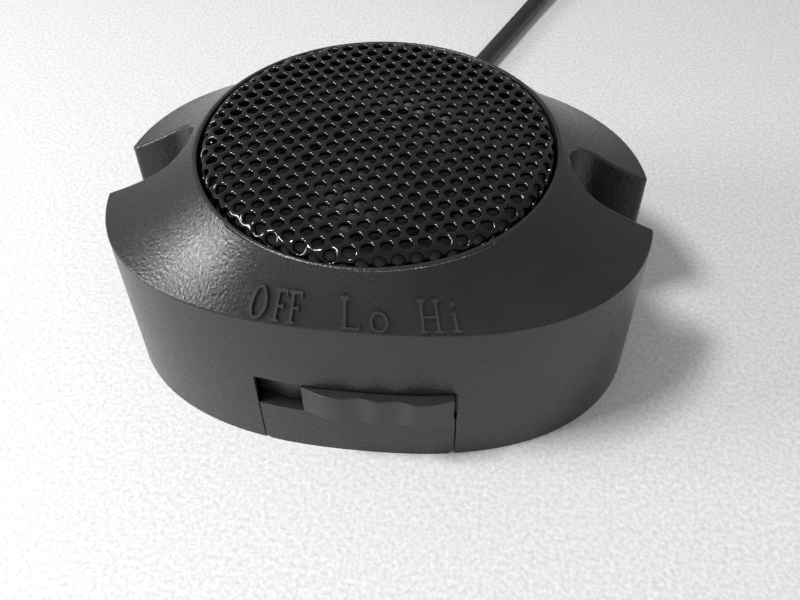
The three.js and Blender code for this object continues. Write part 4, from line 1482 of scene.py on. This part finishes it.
class TWEETER_OT_switch(bpy.types.Operator):
    """Builds the ribbed slide knob with its flange."""

    bl_idname = "tweeter.switch"
    bl_label = "Switch knob"

    def execute(self, context):
        sizes = context.scene.tweeter_housing
        grip = prism(self.grip_outline(), sizes.slot_bottom + GAP, sizes.slot_top - GAP)
        flange = prism(self.flange_outline(), KNOB_LOW.z, KNOB_HIGH.z)
        height = (sizes.slot_bottom + sizes.slot_top) / 2
        socket = box_mesh(
            (KNOB_MIDDLE - SOCKET_HALF_WIDTH, SOCKET_BOTTOM, height - SOCKET_HALF_HEIGHT),
            (KNOB_MIDDLE + SOCKET_HALF_WIDTH, KNOB_HIGH.y + MM, height + SOCKET_HALF_HEIGHT),
        )
        knob = combined(grip, [flange], "UNION")
        knob = combined(knob, [socket], "DIFFERENCE")
        obj = piece_from(knob, "slide_knob", "satin_plastic", "switch_slide", ("switch_knob",))
        softened(obj, 0.22 * MM, 3, 40)
        return {"FINISHED"}

    def flange_outline(self, steps=48):
        """A plate that bows forward with the wall's inner face, seen from above."""
        points = [(KNOB_MIDDLE - FLANGE_HALF, KNOB_HIGH.y)]
        for step in range(steps + 1):
            x = FLANGE_HALF * (2 * step / steps - 1)
            reach = wall_front(abs(x) + KNOB_TRAVEL / 2) - GUIDE_SKIN - GUIDE_PLAY
            points.append((KNOB_MIDDLE + x, -min(FLANGE_REACH, reach)))
        return points + [(KNOB_MIDDLE + FLANGE_HALF, KNOB_HIGH.y)]

    def grip_outline(self, steps=72):
        """The grip seen from above: three rounded ridges with a shallow valley between each two."""
        back = -FLANGE_REACH + 0.5 * MM
        points = [(KNOB_MIDDLE - GRIP_HALF, back)]
        for step in range(steps + 1):
            x = GRIP_HALF * (2 * step / steps - 1)
            if abs(x) < RIB_PITCH:
                rise = RIB_RISE - RIB_VALLEY * (1 - math.cos(2 * math.pi * x / RIB_PITCH)) / 2
            else:
                share = (GRIP_HALF - abs(x)) / (GRIP_HALF - RIB_PITCH)
                fullness = max(0.0, math.sin(share * math.pi / 2)) ** 1.2
                rise = GRIP_END_RISE + (RIB_RISE - GRIP_END_RISE) * fullness
            points.append((KNOB_MIDDLE + x, -HALF_WIDTH - rise))
        return points + [(KNOB_MIDDLE + GRIP_HALF, back)]


class TWEETER_OT_driver(bpy.types.Operator):
    """Builds the dome, its half-roll surround and the frame behind the grille."""

    bl_idname = "tweeter.driver"
    bl_label = "Driver"

    def execute(self, context):
        self.add_dome()
        self.add_surround()
        self.add_frame()
        return {"FINISHED"}

    def add_dome(self):
        low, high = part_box("dome")
        foot, top = high.x, high.z
        base = low.z + 0.22 * MM
        rise = top - base
        sphere = (foot**2 + rise**2) / (2 * rise)
        reach = math.degrees(math.asin(foot / sphere))
        centre = (0.0, top - sphere)
        under = arc_points(centre, sphere - CLOTH, 90, 90 - reach, 24)
        over = arc_points(centre, sphere, 90 - reach, 90, 24)
        under[0], over[-1] = (0.0, top - CLOTH), (0.0, top)
        bm = turned(under + over)
        piece_from(bm, "silk_dome", "dome_silk", "diaphragm", ("dome",))

    def add_surround(self):
        low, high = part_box("surround")
        roll, centre = 1.1 * MM, (11.3 * MM, low.z + CLOTH)
        inner, outer = 9.9 * MM, high.x
        points = [(inner, low.z), (centre[0] - roll + CLOTH, low.z)]
        points += arc_points(centre, roll - CLOTH, 180, 0, 20)
        points += [(centre[0] + roll - CLOTH, low.z), (outer, low.z), (outer, low.z + CLOTH)]
        points += arc_points(centre, roll, 0, 180, 20)
        points += [(inner, low.z + CLOTH), (inner, low.z)]
        bm = turned(points)
        piece_from(bm, "half_roll_surround", "surround_cloth", "diaphragm", ("surround",))

    def add_frame(self):
        low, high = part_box("driver_frame")
        collar, seat_edge, bore = 19.7 * MM, 14 * MM, 12.4 * MM
        seat, under = 24.6 * MM, 26.1 * MM
        points = [(collar, under), (high.x, under), (high.x, high.z), (17.2 * MM, high.z)]
        points += [(16.6 * MM, high.z - 0.25 * MM), (14.3 * MM, seat + 1.4 * MM)]
        points += [(seat_edge, seat + 1.1 * MM), (seat_edge, seat)]
        points += [(bore, seat), (bore, low.z), (16.5 * MM, low.z)]
        points += [(collar, 24.8 * MM), (collar, under)]
        sinks = [self.screw_sink(box_centre(f"driver_screw_{index}"), high.z) for index in range(1, 4)]
        bm = combined(turned(points), sinks, "DIFFERENCE")
        piece_from(bm, "face_frame", "moulded_frame", "enclosure", ("driver_frame",))

    def screw_sink(self, centre, top, head=1.5 * MM, hole=0.95 * MM, depth=0.8 * MM):
        """A countersunk hole from the frame's front."""
        bottom, above = 25 * MM, top + MM
        section = [(0.0, bottom), (hole, bottom), (hole, top - depth)]
        section += [(head, top), (head, above), (0.0, above)]
        return moved(turned(section, 32), centre.x, centre.y)


class TWEETER_OT_screws(bpy.types.Operator):
    """Makes one screw of each kind and copies it to its holes."""

    bl_idname = "tweeter.screws"
    bl_label = "Screws"

    def execute(self, context):
        tree = copies_tree()
        base = [f"base_screw_{index}" for index in range(1, 5)]
        driver = [f"driver_screw_{index}" for index in range(1, 4)]
        self.add_group("base_screws", "plated_steel", tree, base, BASE_SCREW, False)
        self.add_group("driver_screws", "blackened_steel", tree, driver, DRIVER_SCREW, True)
        return {"FINISHED"}

    def add_group(self, name, finish, tree, nodes, sizes, head_up):
        """Countersunk screws with a cross recess and a rolled thread."""
        pattern = object_from(self.screw(sizes, head_up), "screw_pattern")
        points = []
        for node_name in nodes:
            centre = box_centre(node_name)
            points.append((centre.x, centre.y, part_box(node_name)[1].z + 0.05 * MM if head_up else 0.0))
        obj = run_tree(name, tree, points, {"Part": pattern, "Material": material(finish)})
        bpy.data.objects.remove(pattern)
        declare_piece(obj, "enclosure", nodes)

    def screw(self, sizes, head_up):
        """One screw with its head at the bottom, turned over where the head is up."""
        shank, head, length = sizes.shank, sizes.head, sizes.length
        root = shank * 0.8
        profile = [(0.0, 0.05 * MM), (head * 0.96, 0.05 * MM), (head, 0.12 * MM), (shank, sizes.head_height)]
        for thread in range(int((length - sizes.head_height - MM) / THREAD_PITCH)):
            at = sizes.head_height + 0.3 * MM + thread * THREAD_PITCH
            profile += [(root, at), (shank, at + 0.16 * MM), (root, at + 0.32 * MM)]
        profile += [(root, length - 0.8 * MM), (0.1 * MM, length), (0.0, length)]
        arm_length, width, depth = head * 0.6, head * 0.11, sizes.head_height * 0.65
        bars = [
            box_mesh((-arm_length, -width, -MM), (arm_length, width, depth)),
            box_mesh((-width, -arm_length, -MM), (width, arm_length, depth)),
        ]
        bm = combined(turned(profile, 40), bars, "DIFFERENCE")
        return rotated(bm, math.pi, "X") if head_up else bm


class TWEETER_OT_inner_parts(bpy.types.Operator):
    """Gives every carried-over CAD part its own material."""

    bl_idname = "tweeter.inner_parts"
    bl_label = "Inner parts"

    finishes = {
        "plated_steel": ("top_plate", "t_yoke", "switch_frame", "switch_screw_1", "switch_screw_2"),
        "ground_ferrite": ("ring_magnet",),
        "copper_winding": ("voice_coil",),
        "dome_silk": ("voice_coil_former",),
        "wool_felt": ("pole_felt",),
        "phenolic_board": ("terminal_board", "switch_base"),
        "plain_brass": (
            "terminal_plus", "terminal_minus", "switch_contact",
            "switch_pin_1", "switch_pin_2", "switch_pin_3", "switch_pin_4",
        ),
        "moulded_frame": ("switch_slider",),
        "shrink_sleeve": ("capacitor",),
        "glazed_body": ("resistor",),
        "red_insulation": ("wire_supply_plus", "wire_capacitor_driver", "core_plus"),
        "black_insulation": (
            "wire_supply_minus", "wire_switch_capacitor", "wire_switch_resistor", "core_minus",
        ),
    }

    def execute(self, context):
        for name, nodes in self.finishes.items():
            for node_name in nodes:
                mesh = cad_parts[node_name].data
                mesh.materials.clear()
                mesh.materials.append(material(name))
        return {"FINISHED"}


STEPS = (
    TWEETER_OT_stage,
    TWEETER_OT_cord,
    TWEETER_OT_housing,
    TWEETER_OT_base,
    TWEETER_OT_grille,
    TWEETER_OT_switch,
    TWEETER_OT_driver,
    TWEETER_OT_screws,
    TWEETER_OT_inner_parts,
)


class TWEETER_PT_panel(bpy.types.Panel):
    """Lists the build steps in the sidebar."""

    bl_idname = "TWEETER_PT_panel"
    bl_label = "Car tweeter"
    bl_space_type = "VIEW_3D"
    bl_region_type = "UI"
    bl_category = "Tweeter"

    def draw(self, context):
        for step in STEPS:
            self.layout.operator(step.bl_idname)


def register():
    for settings in SETTINGS.values():
        bpy.utils.register_class(settings)
    for name, settings in SETTINGS.items():
        setattr(bpy.types.Scene, name, bpy.props.PointerProperty(type=settings))
    for step in STEPS:
        bpy.utils.register_class(step)
    bpy.utils.register_class(TWEETER_PT_panel)


def unregister():
    bpy.utils.unregister_class(TWEETER_PT_panel)
    for step in reversed(STEPS):
        bpy.utils.unregister_class(step)
    for name in SETTINGS:
        delattr(bpy.types.Scene, name)
    for settings in SETTINGS.values():
        bpy.utils.unregister_class(settings)


def main():
    register()
    bpy.ops.tweeter.stage()
    bpy.ops.tweeter.cord()
    bpy.ops.tweeter.housing()
    bpy.ops.tweeter.base()
    bpy.ops.tweeter.grille()
    bpy.ops.tweeter.switch()
    bpy.ops.tweeter.driver()
    bpy.ops.tweeter.screws()
    bpy.ops.tweeter.inner_parts()


if __name__ == "__main__":
    main()
